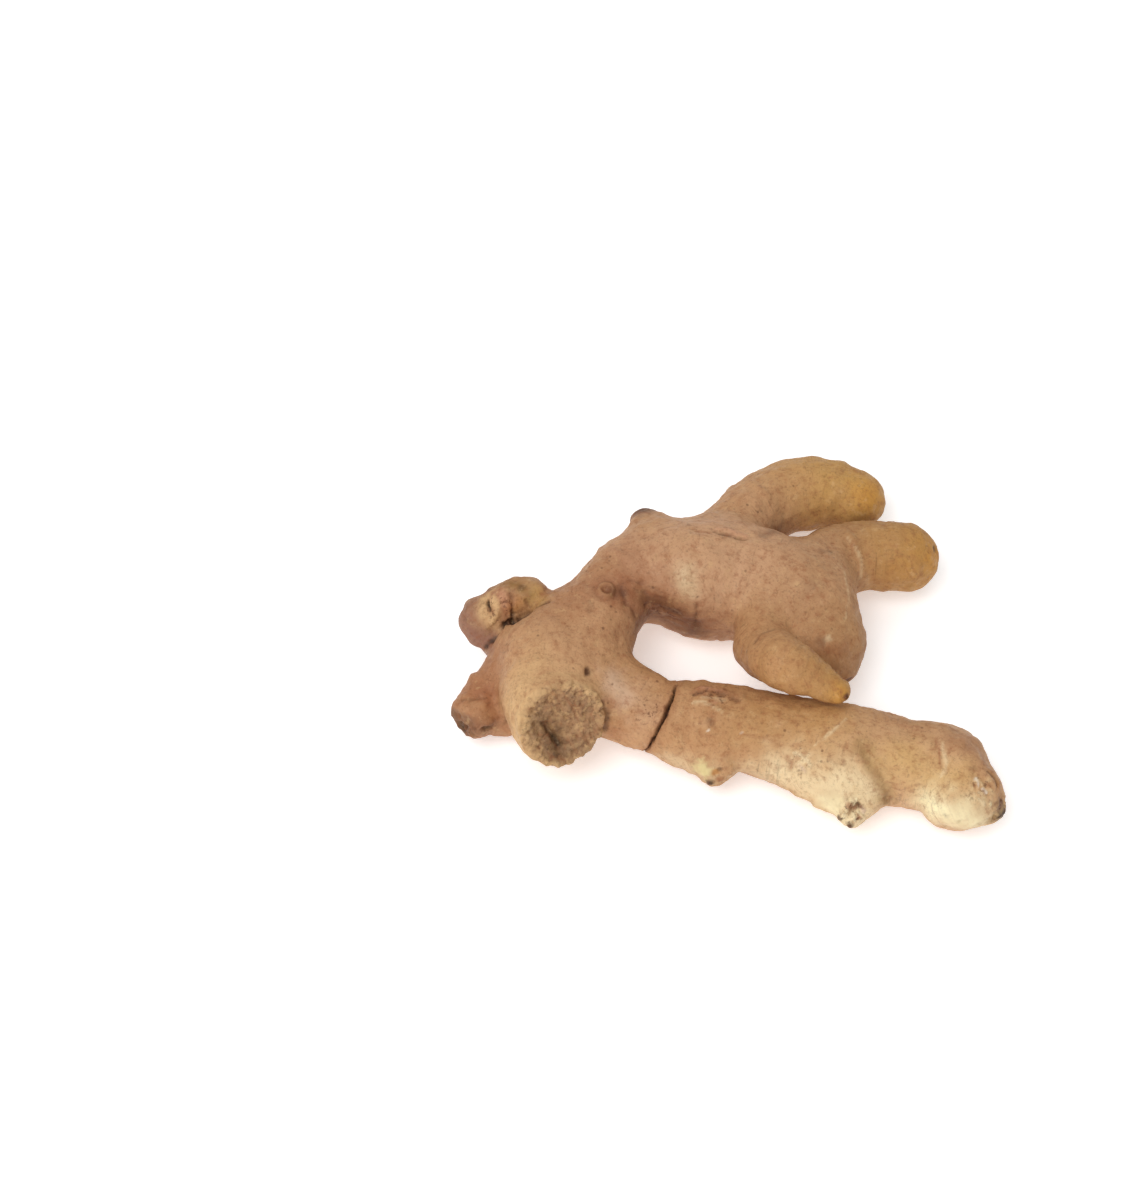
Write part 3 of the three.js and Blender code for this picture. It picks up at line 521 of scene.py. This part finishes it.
# How each noise turns into a share or a roughness: from which values, and to which.
BANDS = {
    "broad": (0.42, 0.7, 0, 0.35),
    "dark_mottle": (0.5, 0.72, 0, 0.5),
    "pale_mottle": (0.46, 0.25, 0, 0.4),
    "streaks": (0.5, 0.72, 0, 0.35),
    "hoop_places": (0.48, 0.68, 0, 0.3),
    "hoops": (0.52, 0.7),
    "grains": (0.5, 0.75, 0, 0.34),
    "dots": (0.2, 0.08),
    "dot_places": (0.52, 0.64),
    "flecks": (0.54, 0.66),
    "pits": (0.5, 0.7),
    "roughness": (0.3, 0.7, 0.5, 0.72),
}
YOUNG_SHARE = 0.75
DOT_SHARE = 0.55
FLECK_SHARE = 0.6
PIT_SHARE = 0.6
SPECULAR = 0.3
BUMP_SHARES = {"bumps": 0.7, "fine_bumps": 0.2, "streaks": 0.12, "hoops": 0.5}
BUMP_STRENGTH = 0.8
BUMP_HEIGHT = 0.6


def add_object(name, data):
    """A new object in the scene."""
    made = bpy.data.objects.new(name, data)
    bpy.context.scene.collection.objects.link(made)
    return made


def aim_camera():
    """The camera, looking along +Y and down."""
    tilt = math.radians(CAMERA_ELEVATION)
    target = Vector(CAMERA_TARGET) * MM
    back = Vector((0, -math.cos(tilt), math.sin(tilt)))
    camera = add_object("camera", bpy.data.cameras.new("camera"))
    camera.data.lens = CAMERA_LENS
    camera.data.sensor_width = CAMERA_SENSOR
    camera.location = target + back * CAMERA_DISTANCE * MM
    camera.rotation_euler = (-back).to_track_quat("-Z", "Y").to_euler()
    bpy.context.scene.camera = camera


def linear(tone):
    """A named sRGB tone as linear colour."""
    c = np.array(TONES[tone]) / 255
    return np.where(c <= 0.04045, c / 12.92, ((c + 0.055) / 1.055) ** 2.4)


def smooth(x, low, high):
    """0 below low, 1 above high, and a smooth step between them."""
    t = np.clip((x - low) / (high - low), 0, 1)
    return t * t * (3 - 2 * t)


def ripple(p, spacing, seed):
    """Smooth random hills and hollows between about -1 and 1: a few plane waves that run every way."""
    total = np.zeros(len(p))
    for i in range(WAVES):
        up = 1 - (2 * i + 1) / WAVES
        out = math.sqrt(1 - up * up)
        turn = i * GOLDEN_ANGLE + seed
        length = WAVE_LENGTH["least"] + WAVE_LENGTH["range"] * ((i * WAVE_LENGTH["step"] + seed) % 1)
        per_length = 2 * math.pi / length
        wave = np.array([out * math.cos(turn), out * math.sin(turn), up]) * per_length
        total += np.sin(p @ wave / spacing + seed * WAVE_PHASE["per_seed"] + i * i * WAVE_PHASE["per_wave"])
    return total / math.sqrt(WAVES)


def grit(p, spacing, seed):
    """Perlin noise between about -1 and 1 with hills about spacing apart."""
    return np.array([noise.noise(Vector(q)) for q in p / spacing + GRIT_SEED_STEP * seed]) * GRIT_GAIN


def hill(away, width):
    """A smooth hill, 1 where away is 0, that falls off over a width."""
    return np.exp(-((away / width) ** 2))


def curve_point(points, t):
    """The point at t, from 0 to 1, of a centripetal Catmull-Rom curve through the points."""
    points = np.asarray(points, float)
    last = len(points) - 1
    i = min(int(last * t), last - 1)
    weight = last * t - i
    before = points[i - 1] if i > 0 else 2 * points[0] - points[1]
    after = points[i + 2] if i + 2 <= last else 2 * points[last] - points[last - 1]
    a, b = points[i], points[i + 1]
    d0, d1, d2 = (np.sum((q - p) ** 2) ** 0.25 for p, q in [(before, a), (a, b), (b, after)])
    start = ((a - before) / d0 - (b - before) / (d0 + d1) + (b - a) / d1) * d1
    end = ((b - a) / d1 - (after - a) / (d1 + d2) + (after - b) / d2) * d1
    w2, w3 = weight**2, weight**3
    return a + start * weight + (3 * (b - a) - 2 * start - end) * w2 + (2 * (a - b) + start + end) * w3


class Limb:
    """One limb: a chain of round cones along a smooth curve."""

    def __init__(self, path, melt, tones, rings=(), squash=1):
        steps = (len(path) - 1) * CURVE_STEPS_PER_POINT
        places = [i / steps for i in range(steps + 1)]
        self.centres = np.array([curve_point([p[:3] for p in path], t) for t in places])
        flat = [[i, p[3], 0] for i, p in enumerate(path)]
        self.radii = np.array([curve_point(flat, t)[1] for t in places])
        self.melt, self.squash = melt, squash
        self.tones = [linear(t) for t in tones]
        self.middle = self.centres[len(places) // 2]
        self.extent = np.max(np.linalg.norm(self.centres - self.middle, axis=1) + self.radii)
        self.lengths = np.linalg.norm(np.diff(self.centres, axis=0), axis=1)
        self.rings = [self.ring_at(place) for place in rings]

    def ring_at(self, place):
        """A growth ring's centre, and the direction in which the limb runs there."""
        at = place * (len(self.centres) - 1)
        i = min(int(at), len(self.centres) - 2)
        step = self.centres[i + 1] - self.centres[i]
        return self.centres[i] + step * (at - i), step / np.linalg.norm(step)

    def measure(self, p):
        """For each point: distance from the limb's skin, distance along the limb, and the offset from its
        centre line."""
        apart = np.linalg.norm(p - self.middle, axis=1) - self.extent
        along = np.zeros(len(p))
        offset = np.zeros((len(p), 3))
        near = np.flatnonzero(apart <= FAR_AWAY)
        q = p[near]
        best = np.full(len(q), np.inf)
        best_along = np.zeros(len(q))
        best_offset = np.zeros((len(q), 3))
        scale = np.array([1, 1, self.squash])
        begun = 0.0
        for i, length in enumerate(self.lengths):
            axis = (self.centres[i + 1] - self.centres[i]) * scale
            rel = (q - self.centres[i]) * scale
            share = np.clip(rel @ axis / (axis @ axis), 0, 1)
            off = rel - share[:, None] * axis
            away = np.sqrt(np.einsum("ij,ij->i", off, off))
            away -= self.radii[i] + share * (self.radii[i + 1] - self.radii[i])
            closer = away < best
            best[closer] = away[closer]
            best_along[closer] = begun + share[closer] * length
            best_offset[closer] = off[closer]
            begun += length
        apart[near] = best
        along[near] = best_along
        offset[near] = best_offset
        return apart, along, offset

    def melt_width(self, p):
        """How widely the limb flows into the others, most round its root."""
        away = np.linalg.norm(p - self.centres[0], axis=1) / self.radii[0]
        return CREASE_ROUNDING + self.melt * (1 - smooth(away, MELT_NEAR, MELT_FAR))

    def ring_relief(self, p):
        """Height of the limb's growth rings: narrow ridges in shallow waists."""
        waver = RING_WAVER["height"] * ripple(p, RING_WAVER["spacing"], RING_WAVER["seed"])
        fade = RING_FADE["mean"] + RING_FADE["swing"] * ripple(p, RING_FADE["spacing"], RING_FADE["seed"])
        share = np.maximum(fade, RING_FADE["least"])
        height = np.zeros(len(p))
        for centre, along in self.rings:
            past = (p - centre) @ along + waver
            height += share * RING_HEIGHT * hill(past, RING_WIDTH)
            height -= RING_WAIST_DEPTH * hill(past, RING_WAIST_WIDTH)
        return height


limbs = {name: Limb(**limb) for name, limb in LIMBS.items()}


def melt_together(a, b, width):
    """The lower of two distances, rounded off over a width."""
    h = np.maximum(width - np.abs(a - b), 0) / width
    return np.minimum(a, b) - h * h * width / 4


def past_cut(p, at, facing, reach, hollow):
    """How far a point lies past a cut end's dished face, and how far aside of its axis."""
    facing = np.array(facing) / np.linalg.norm(facing)
    rel = p - np.array(at)
    beyond = rel @ facing
    aside = np.sqrt(np.maximum(np.sum(rel * rel, axis=1) - beyond * beyond, 0))
    dish = hollow * (1 - np.minimum(aside / (CUT_DISH_SHARE * reach), 1) ** 2)
    return beyond + dish, aside


def skin_field(p):
    """Distance from the skin, negative inside."""
    aparts = []
    skin = None
    for limb in limbs.values():
        apart, _, _ = limb.measure(p)
        aparts.append(apart)
        skin = apart if skin is None else melt_together(skin, apart, limb.melt_width(p))
    bare = skin
    skin = skin + SWELLING["height"] * ripple(p, SWELLING["spacing"], SWELLING["seed"])
    for dent in DENTS:
        away = np.linalg.norm(p - np.array(dent["at"]), axis=1) / dent["width"]
        skin += dent["depth"] * np.exp(-away * away)
    for limb, apart in zip(limbs.values(), aparts):
        share = np.clip(1 - (apart - bare) / RING_REACH, 0, 1)
        on = np.flatnonzero(share)
        if limb.rings and len(on):
            skin[on] -= share[on] * limb.ring_relief(p[on])
    for cut in CUT_ENDS:
        beyond, aside = past_cut(p, **cut)
        skin = -melt_together(-skin, -np.minimum(beyond, cut["reach"] - aside), CUT_EDGE_ROUNDING)
    return skin


def slope_of(p, here):
    """The field's slope at each point, where it is known to be here."""
    steps = np.eye(3) * SLOPE_STEP
    return np.stack([(skin_field(p + step) - here) / SLOPE_STEP for step in steps], axis=1)


def settle(p):
    """Takes points onto the skin."""
    for _ in range(SETTLE_ROUNDS):
        here = skin_field(p)
        out = slope_of(p, here)
        p = p - out * (here / np.maximum(np.sum(out * out, axis=1), LEAST_SLOPE))[:, None]
    return p


def smooth_line(points):
    """Points along a smooth line through the given ones. One place alone stays as it is."""
    points = np.atleast_2d(np.array(points, float))
    steps = (len(points) - 1) * LINE_STEPS_PER_POINT
    return np.array([curve_point(points, i / steps) for i in range(steps + 1)]) if steps else points


def on_skin(marks):
    """The marks, each with its place or points turned into a smooth line on the skin."""
    lines = [smooth_line(mark[0]) for mark in marks]
    ends = np.cumsum([len(line) for line in lines])[:-1]
    settled = np.split(settle(np.vstack(lines)), ends)
    return [(line, *mark[1:]) for line, mark in zip(settled, marks)]


def split_line():
    """The split's line, on the skin."""
    return on_skin([(CRACK["path"],)])[0][0]


def near_line(p, path, reach):
    """Numbers of the points within a box that reaches so far round a path."""
    low = np.min(path, axis=0) - reach
    high = np.max(path, axis=0) + reach
    return np.flatnonzero(np.all((p > low) & (p < high), axis=1))


def line_place(p, path):
    """Each point's distance from a line through the path's points, and how far along the line it is, from 0
    to 1."""
    path = np.asarray(path, float)
    best = np.linalg.norm(p - path[0], axis=1)
    place = np.zeros(len(p))
    for i, (a, b) in enumerate(zip(path[:-1], path[1:])):
        share = np.clip((p - a) @ (b - a) / np.sum((b - a) ** 2), 0, 1)
        away = np.linalg.norm(p - a - share[:, None] * (b - a), axis=1)
        closer = away < best
        best[closer] = away[closer]
        place[closer] = (i + share[closer]) / (len(path) - 1)
    return best, place


def keep_largest(bm):
    """Deletes any speck that lies apart from the root itself."""
    left = set(bm.verts)
    parts = []
    for start in bm.verts:
        if start in left:
            left.remove(start)
            part = [start]
            for vert in part:
                others = [edge.other_vert(vert) for edge in vert.link_edges]
                found = [other for other in others if other in left]
                left.difference_update(found)
                part.extend(found)
            parts.append(part)
    parts.sort(key=len)
    specks = [vert for part in parts[:-1] for vert in part]
    bmesh.ops.delete(bm, geom=specks, context="VERTS")


def even_mesh():
    """The solid root's form on an even mesh, finer where the small forms are. It is shrunk a little, so that
    limbs that lie close together stay apart."""
    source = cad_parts["rhizome"]
    mesh = source.data.copy()
    bm = bmesh.new()
    bm.from_mesh(mesh)
    bmesh.ops.remove_doubles(bm, verts=bm.verts, dist=WELD_DISTANCE)
    bm.normal_update()
    for vert in bm.verts:
        vert.co -= vert.normal * SHRINK * MM
    bm.to_mesh(mesh)
    bm.free()
    work = add_object("work", mesh)
    remesh = work.modifiers.new("even", "REMESH")
    remesh.mode = "VOXEL"
    remesh.voxel_size = MESH_SPACING * MM
    graph = bpy.context.evaluated_depsgraph_get()
    bm = bmesh.new()
    bm.from_mesh(work.evaluated_get(graph).to_mesh())
    bpy.data.objects.remove(work)
    bpy.data.meshes.remove(mesh)
    keep_largest(bm)

    places = np.array([v.co for v in bm.verts]) / MM + FOOTPRINT
    fine = line_place(places, split_line())[0] < FINE_CRACK_REACH
    for middle, reach in FINE_PLACES:
        fine |= np.linalg.norm(places - np.array(middle), axis=1) < reach
    edges = [e for e in bm.edges if fine[e.verts[0].index] and fine[e.verts[1].index]]
    bmesh.ops.subdivide_edges(bm, edges=edges, cuts=1, use_grid_fill=True)
    bmesh.ops.triangulate(bm, faces=[f for f in bm.faces if len(f.verts) > 4])
    return bm


def limb_shares(p):
    """How much each point belongs to each limb, and its limb coordinates along the nearest one."""
    measures = [limb.measure(p) for limb in limbs.values()]
    apart = np.stack([m[0] for m in measures])
    nearest = np.argmin(apart, axis=0)
    weight = np.exp(-(apart - apart.min(axis=0)) / TONE_BLEND)
    weight /= weight.sum(axis=0)
    rows = np.arange(len(p))
    along = np.stack([m[1] for m in measures])
    offset = np.stack([m[2] for m in measures])[nearest, rows]
    return weight, along, along[nearest, rows], offset


def base_tone(weight, along):
    """The skin's broad colour: each limb's own, running from its root's tone to its end's."""
    colour = np.zeros((weight.shape[1], 3))
    for limb, w, a in zip(limbs.values(), weight, along):
        share = smooth(a / limb.lengths.sum(), TONE_START, 1)[:, None]
        colour += w[:, None] * (limb.tones[0] * (1 - share) + limb.tones[-1] * share)
    return colour


def blend(colour, tone, share):
    """Colour, mixed towards a tone by a share at each point."""
    return colour + (linear(tone) - colour) * np.clip(share, 0, 1)[:, None]


class Dressing:
    """The small forms and the colours of the skin at its points."""

    def __init__(self, p):
        self.p = p
        weight, along_all, along, offset = limb_shares(p)
        self.colour = base_tone(weight, along_all)
        self.rough = grit(p, ROUGH["spacing"], 1)
        self.fine = grit(p, FINE["spacing"], 2)
        self.broad = grit(p, BROAD_SPACING, 3)
        sway = np.column_stack([grit(p, WANDER["spacing"], seed) for seed in (11, 12, 13)])
        self.wander = p + WANDER["reach"] * sway
        self.ragged = 0.4 * self.rough + 0.3 * self.fine
        self.grain = np.column_stack([along, offset[:, :2] + offset[:, 2:] * (0.5, -0.5)])
        self.height = LUMPY["height"] * grit(p, LUMPY["spacing"], 4)
        self.height += ROUGH["height"] * self.rough + FINE["height"] * self.fine

        # Fine wrinkles that run round each limb, in bands.
        around = grit(self.grain / WRINKLES["spacing"], 1, 5)
        self.height += WRINKLES["height"] * around * smooth(self.broad, -0.5, 0.3)
        for middle, radius, lift in LUMPS:
            self.height += lift * hill(self.away_from(middle), radius)

    def away_from(self, place):
        """Each point's distance from a place."""
        return np.linalg.norm(self.p - np.array(place), axis=1)

    def tint(self, tone, share):
        """Mixes the colour towards a tone."""
        self.colour = blend(self.colour, tone, share)

    def mark(self, near, tone, share, lift):
        """Tints and lifts some of the points."""
        strength, height = lift
        self.colour[near] = blend(self.colour[near], tone, share * strength)
        self.height[near] += share * height

    def stem_scar(self):
        """Fibrous, pitted cork with a slit, inside a raised rim. Gives back the cork's share."""
        rough, fine = self.rough, self.fine
        beyond, aside = past_cut(self.p, **CUT_ENDS[0])
        edge = SCAR["radius"] + SCAR["edge"]
        cork = smooth(beyond, -1.6, -0.5) * (1 - smooth(aside + 0.5 * rough, SCAR["radius"], edge))
        pits = smooth(grit(self.p, SCAR_PITS["spacing"], 6), 0.25, 0.7)
        self.height += cork * (SCAR["relief"] * (rough + fine) - SCAR_PITS["depth"] * pits)
        rim = hill(aside - SCAR_RIM["radius"] - 0.5 * self.broad, SCAR_RIM["width"])
        rim *= smooth(beyond, -2.0, -0.6)
        self.height += SCAR_RIM["height"] * rim * (1 + 0.4 * rough)
        slit, _ = line_place(self.wander, SLIT)
        self.height -= cork * SLIT_DEPTH * (1 - smooth(slit, 0.3, 1.8))
        self.height -= cork * SLIT_HOLLOW * (1 - smooth(slit, 1.5, 6))

        fibre = smooth(grit(self.p / SCAR_FIBRE["stretch"], SCAR_FIBRE["spacing"], 8), 0, 0.5)
        speckle = smooth(rough + fine, 0, 0.8)
        self.tint("cork", cork)
        self.tint("straw", cork * 0.5 * fibre)
        self.tint("dark_cork", cork * (0.4 * speckle + 0.7 * (1 - smooth(slit, 1, 7))))
        self.tint("straw", rim * 0.75 * smooth(fine, -0.7, 0.3))
        self.tint("shadow", cork * 0.75 * (1 - smooth(slit, 0.2, 1.3)))
        return cork

    def broken_stub(self):
        """The side knob's broken end."""
        beyond, aside = past_cut(self.p, **CUT_ENDS[1])
        edge = STUB["radius"] + STUB["edge"]
        stub = smooth(beyond, -1.0, -0.3) * (1 - smooth(aside, STUB["radius"], edge))
        self.height += stub * (STUB["rough"] * self.rough + STUB["fine"] * self.fine)
        self.tint("dark_cork", stub * 0.6)

    def torn_places(self):
        """Torn, flaky skin. Gives back its share."""
        torn = np.zeros(len(self.p))
        fibre = grit(self.grain / FIBRE_SPACING, 1, 7) + 0.5 * self.fine
        for middle, reach, deep, flake, gap in TORN_PLACES:
            share = 1 - smooth(self.away_from(middle), 0.4 * reach, reach)
            self.height += share * deep * (0.4 * self.rough + 0.8 * fibre)
            self.tint(flake, 0.6 * share * smooth(fibre, 0, 0.5))
            self.tint(gap, 0.5 * share * smooth(fibre, -0.05, -0.5))
            torn = np.maximum(torn, share)
        return torn

    def eye_scar(self):
        """The small round scar on the hub."""
        eye = self.away_from(EYE_SCAR["at"])
        ring = hill(eye - EYE_SCAR["radius"], EYE_SCAR["width"])
        groove = hill(eye - EYE_SCAR["radius"] - EYE_GROOVE["outside"], EYE_GROOVE["width"])
        self.height += EYE_SCAR["height"] * ring - EYE_GROOVE["depth"] * groove
        self.height -= EYE_PIT["depth"] * hill(eye, EYE_PIT["radius"])
        self.tint("umber", 0.35 * groove)
        self.tint("straw", 0.7 * ring)

    def marks(self):
        """The washes of colour, the marks along lines and the round marks."""
        uneven = 1 + 0.25 * (self.rough + self.broad)
        for path, radius, tone, strength in on_skin(SHADES):
            near = near_line(self.p, path, 3 * radius)
            away = line_place(self.wander[near], path)[0] * uneven[near]
            self.mark(near, tone, hill(away, radius), (strength, 0))
        between = self.p + 0.6 * (self.wander - self.p)
        for path, half_width, tone, strength, lift in on_skin(LINES):
            near = near_line(self.p, path, 3 * half_width)
            away, place = line_place(between[near], path)
            taper = 0.4 + 0.6 * np.sqrt(np.maximum(np.sin(np.pi * place), 0))
            share = 1 - smooth(away / (half_width * taper) + self.ragged[near], 0.2, 1.6)
            self.mark(near, tone, share, (strength, lift))
        for path, radius, tone, strength, lift in on_skin(SPOTS):
            near = near_line(self.p, path, 2 * radius)
            away = line_place(self.p[near], path)[0] / radius + self.ragged[near]
            self.mark(near, tone, 1 - smooth(away, 0.35, 1.3), (strength, lift))

    def split(self):
        """The split, widest in its middle, between raised lips."""
        away, place = line_place(self.p + 0.5 * (self.wander - self.p), split_line())
        gape = np.sin(np.pi * place) ** 1.5
        half = CRACK["least_half_width"] + (CRACK["half_width"] - CRACK["least_half_width"]) * gape
        split = 1 - smooth(away / half / (1 + 0.25 * self.rough), 0.4, 1.2)
        self.height -= split * CRACK["depth"] * (0.3 + 0.7 * gape)
        self.height += CRACK_LIP["height"] * hill(away - CRACK_LIP["away"], CRACK_LIP["width"]) * gape
        self.tint("rust", 0.45 * hill(away, CRACK["stain_width"]))
        self.tint("shadow", split)

    def young(self):
        """The share of young skin."""
        young = np.zeros(len(self.p))
        for place, reach in YOUNG_PLACES:
            young = np.maximum(young, 1 - smooth(self.away_from(place), 0.6 * reach, reach))
        return young


def put_attribute(mesh, name, kind, key, values):
    """Stores values at the mesh's points, for its material."""
    data = mesh.attributes.new(name, kind, "POINT").data
    data.foreach_set(key, values.astype(np.float32).ravel())


def build_skin():
    """The whole skin, with its colours and its material's masks stored at its points."""
    bm = even_mesh()
    p = settle(np.array([v.co for v in bm.verts]) / MM + FOOTPRINT)
    normal = slope_of(p, skin_field(p))
    normal /= np.linalg.norm(normal, axis=1)[:, None]
    dressing = Dressing(p)
    cork = dressing.stem_scar()
    dressing.broken_stub()
    torn = dressing.torn_places()
    dressing.eye_scar()
    dressing.marks()
    dressing.split()
    moved = p + normal * dressing.height[:, None]
    moved[:, 2] = np.maximum(moved[:, 2], 0)
    place = (moved - FOOTPRINT) * MM

    mesh = bpy.data.meshes.new("rhizome_skin")
    bm.to_mesh(mesh)
    bm.free()
    mesh.vertices.foreach_set("co", place.astype(np.float32).ravel())
    mesh.polygons.foreach_set("use_smooth", [True] * len(mesh.polygons))
    rgba = np.column_stack([dressing.colour, np.ones(len(p))])
    put_attribute(mesh, "tone", "FLOAT_COLOR", "color", rgba)
    put_attribute(mesh, "cork", "FLOAT", "value", cork)
    put_attribute(mesh, "torn", "FLOAT", "value", torn)
    put_attribute(mesh, "young", "FLOAT", "value", dressing.young())
    put_attribute(mesh, "grain", "FLOAT_VECTOR", "vector", dressing.grain)
    mesh.update()
    return add_object("rhizome_skin", mesh)


class Shader:
    """Builds one node material."""

    def __init__(self, name):
        self.material = bpy.data.materials.new(name)
        self.material.use_nodes = True
        self.tree = self.material.node_tree
        self.surface = self.tree.nodes["Principled BSDF"]

    def node(self, kind, inputs=(), **settings):
        """A new node, with its inputs linked or set."""
        made = self.tree.nodes.new(kind)
        for key, value in settings.items():
            setattr(made, key, value)
        for key, value in dict(inputs).items():
            if isinstance(value, bpy.types.NodeSocket):
                self.tree.links.new(value, made.inputs[key])
            else:
                made.inputs[key].default_value = value
        return made

    def place(self):
        """The point's own place on the object."""
        return self.node("ShaderNodeTexCoord").outputs["Object"]

    def attribute(self, name, output="Fac"):
        """A value stored at the points."""
        return self.node("ShaderNodeAttribute", attribute_name=name).outputs[output]

    def noise(self, name):
        """One of the NOISES, from 0 to 1."""
        spacing, detail, rough = NOISES[name]
        scale = 1 / (spacing * MM)
        inputs = {"Vector": self.place(), "Scale": scale, "Detail": detail, "Roughness": rough}
        return self.node("ShaderNodeTexNoise", inputs).outputs["Fac"]

    def cells(self, spacing):
        """Distance to the nearest of scattered points, 0 to about 1."""
        inputs = {"Vector": self.place(), "Scale": 1 / (spacing * MM)}
        return self.node("ShaderNodeTexVoronoi", inputs).outputs["Distance"]

    def band(self, value, name):
        """The value, taken smoothly through one of the BANDS."""
        low, high, to_low, to_high = (*BANDS[name], 0, 1)[:4]
        inputs = {"Value": value, "From Min": low, "From Max": high, "To Min": to_low, "To Max": to_high}
        return self.node("ShaderNodeMapRange", inputs, interpolation_type="SMOOTHSTEP").outputs["Result"]

    def veil(self, name):
        """The noise and the band of one name."""
        return self.band(self.noise(name), name)

    def grain_noise(self, name):
        """One of the GRAIN_NOISES, from 0 to 1."""
        inputs = {0: self.attribute("grain", "Vector"), 1: GRAIN_NOISES[name]}
        vector = self.node("ShaderNodeVectorMath", inputs, operation="MULTIPLY").outputs[0]
        inputs = {"Vector": vector, "Scale": 1.0, "Detail": GRAIN_DETAIL, "Roughness": GRAIN_ROUGHNESS}
        return self.node("ShaderNodeTexNoise", inputs).outputs["Fac"]

    def maths(self, operation, a, b):
        """The sum, difference or product of two values."""
        return self.node("ShaderNodeMath", {0: a, 1: b}, operation=operation).outputs[0]

    def product(self, *values):
        """All the values multiplied."""
        total = values[0]
        for value in values[1:]:
            total = self.maths("MULTIPLY", total, value)
        return total

    def mix(self, share, a, b):
        """Colour a, mixed towards b by a share."""
        made = self.node("ShaderNodeMix", data_type="RGBA")
        for socket, value in zip((made.inputs[0], made.inputs[6], made.inputs[7]), (share, a, b)):
            if isinstance(value, bpy.types.NodeSocket):
                self.tree.links.new(value, socket)
            else:
                socket.default_value = value
        return made.outputs[2]

    def link(self, value, name):
        """Sends a value to the surface's socket."""
        self.tree.links.new(value, self.surface.inputs[name])


def skin_material():
    """The tones at the skin's points, with mottling, streaks, grains, dots and pits."""
    shader = Shader("ginger_skin")
    old = shader.maths("SUBTRACT", 1.0, shader.product(shader.attribute("young"), YOUNG_SHARE))
    mottle = shader.noise("mottle")
    streaks = shader.grain_noise("streaks")
    hoops = shader.grain_noise("hoops")
    hoop_places = shader.veil("hoop_places")

    # Small dark dots lie in some places only, dark flecks where the skin is torn, and pits in the cork.
    dots = shader.product(shader.band(shader.cells(DOT_SPACING), "dots"), shader.veil("dot_places"))
    layers = (
        (shader.veil("broad"), "dull_tan"),
        (shader.product(shader.band(mottle, "dark_mottle"), old), "rust"),
        (shader.band(mottle, "pale_mottle"), "straw"),
        (shader.product(shader.band(streaks, "streaks"), old), "rust"),
        (shader.product(shader.band(hoops, "hoops"), hoop_places), "umber"),
        (shader.product(shader.veil("grains"), old), "umber"),
        (shader.product(dots, DOT_SHARE, old), "umber"),
        (shader.product(shader.veil("flecks"), shader.attribute("torn"), FLECK_SHARE), "umber"),
        (shader.product(shader.veil("pits"), shader.attribute("cork"), PIT_SHARE), "umber"),
    )
    colour = shader.attribute("tone", "Color")
    for share, tone in layers:
        colour = shader.mix(share, colour, (*linear(tone), 1))
    shader.link(colour, "Base Color")
    shader.link(shader.band(mottle, "roughness"), "Roughness")
    shader.surface.inputs["Specular IOR Level"].default_value = SPECULAR

    height = shader.product(shader.noise("bumps"), BUMP_SHARES["bumps"])
    for more in (
        shader.product(shader.noise("fine_bumps"), BUMP_SHARES["fine_bumps"]),
        shader.product(streaks, BUMP_SHARES["streaks"]),
        shader.product(hoops, hoop_places, BUMP_SHARES["hoops"]),
    ):
        height = shader.maths("ADD", height, more)
    inputs = {"Height": height, "Strength": BUMP_STRENGTH, "Distance": BUMP_HEIGHT * MM}
    shader.link(shader.node("ShaderNodeBump", inputs).outputs["Normal"], "Normal")
    return shader.material


def add_light(name, azimuth, elevation, distance, size, power):
    """A square soft light that shines at the root. Azimuth 0 is on the camera's side, 90 on the right."""
    turn, tilt = math.radians(azimuth), math.radians(elevation)
    away = Vector((math.sin(turn) * math.cos(tilt), -math.cos(turn) * math.cos(tilt), math.sin(tilt)))
    lamp = add_object(name, bpy.data.lights.new(name, "AREA"))
    lamp.data.size = size
    lamp.data.energy = power
    lamp.location = away * distance
    lamp.rotation_euler = (-away).to_track_quat("-Z", "Y").to_euler()


def build_stage():
    """A plain pale floor and plain soft light."""
    bm = bmesh.new()
    bmesh.ops.create_grid(bm, x_segments=1, y_segments=1, size=FLOOR_HALF_WIDTH)
    mesh = bpy.data.meshes.new("floor")
    bm.to_mesh(mesh)
    bm.free()
    floor = add_object("floor", mesh)
    shader = Shader("floor")
    shader.surface.inputs["Base Color"].default_value = FLOOR_COLOUR
    shader.surface.inputs["Roughness"].default_value = FLOOR_ROUGHNESS
    shader.surface.inputs["Emission Color"].default_value = WHITE
    shader.surface.inputs["Emission Strength"].default_value = FLOOR_GLOW
    mesh.materials.append(shader.material)

    world = bpy.data.worlds.new("studio")
    world.use_nodes = True
    world.node_tree.nodes["Background"].inputs["Color"].default_value = WHITE
    world.node_tree.nodes["Background"].inputs["Strength"].default_value = WORLD_STRENGTH
    bpy.context.scene.world = world
    for light in LIGHTS:
        add_light(*light)
    bpy.context.scene.view_settings.view_transform = "Standard"


aim_camera()
build_stage()
skin = build_skin()
skin.data.materials.append(skin_material())
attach(skin, "root")
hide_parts("rhizome")
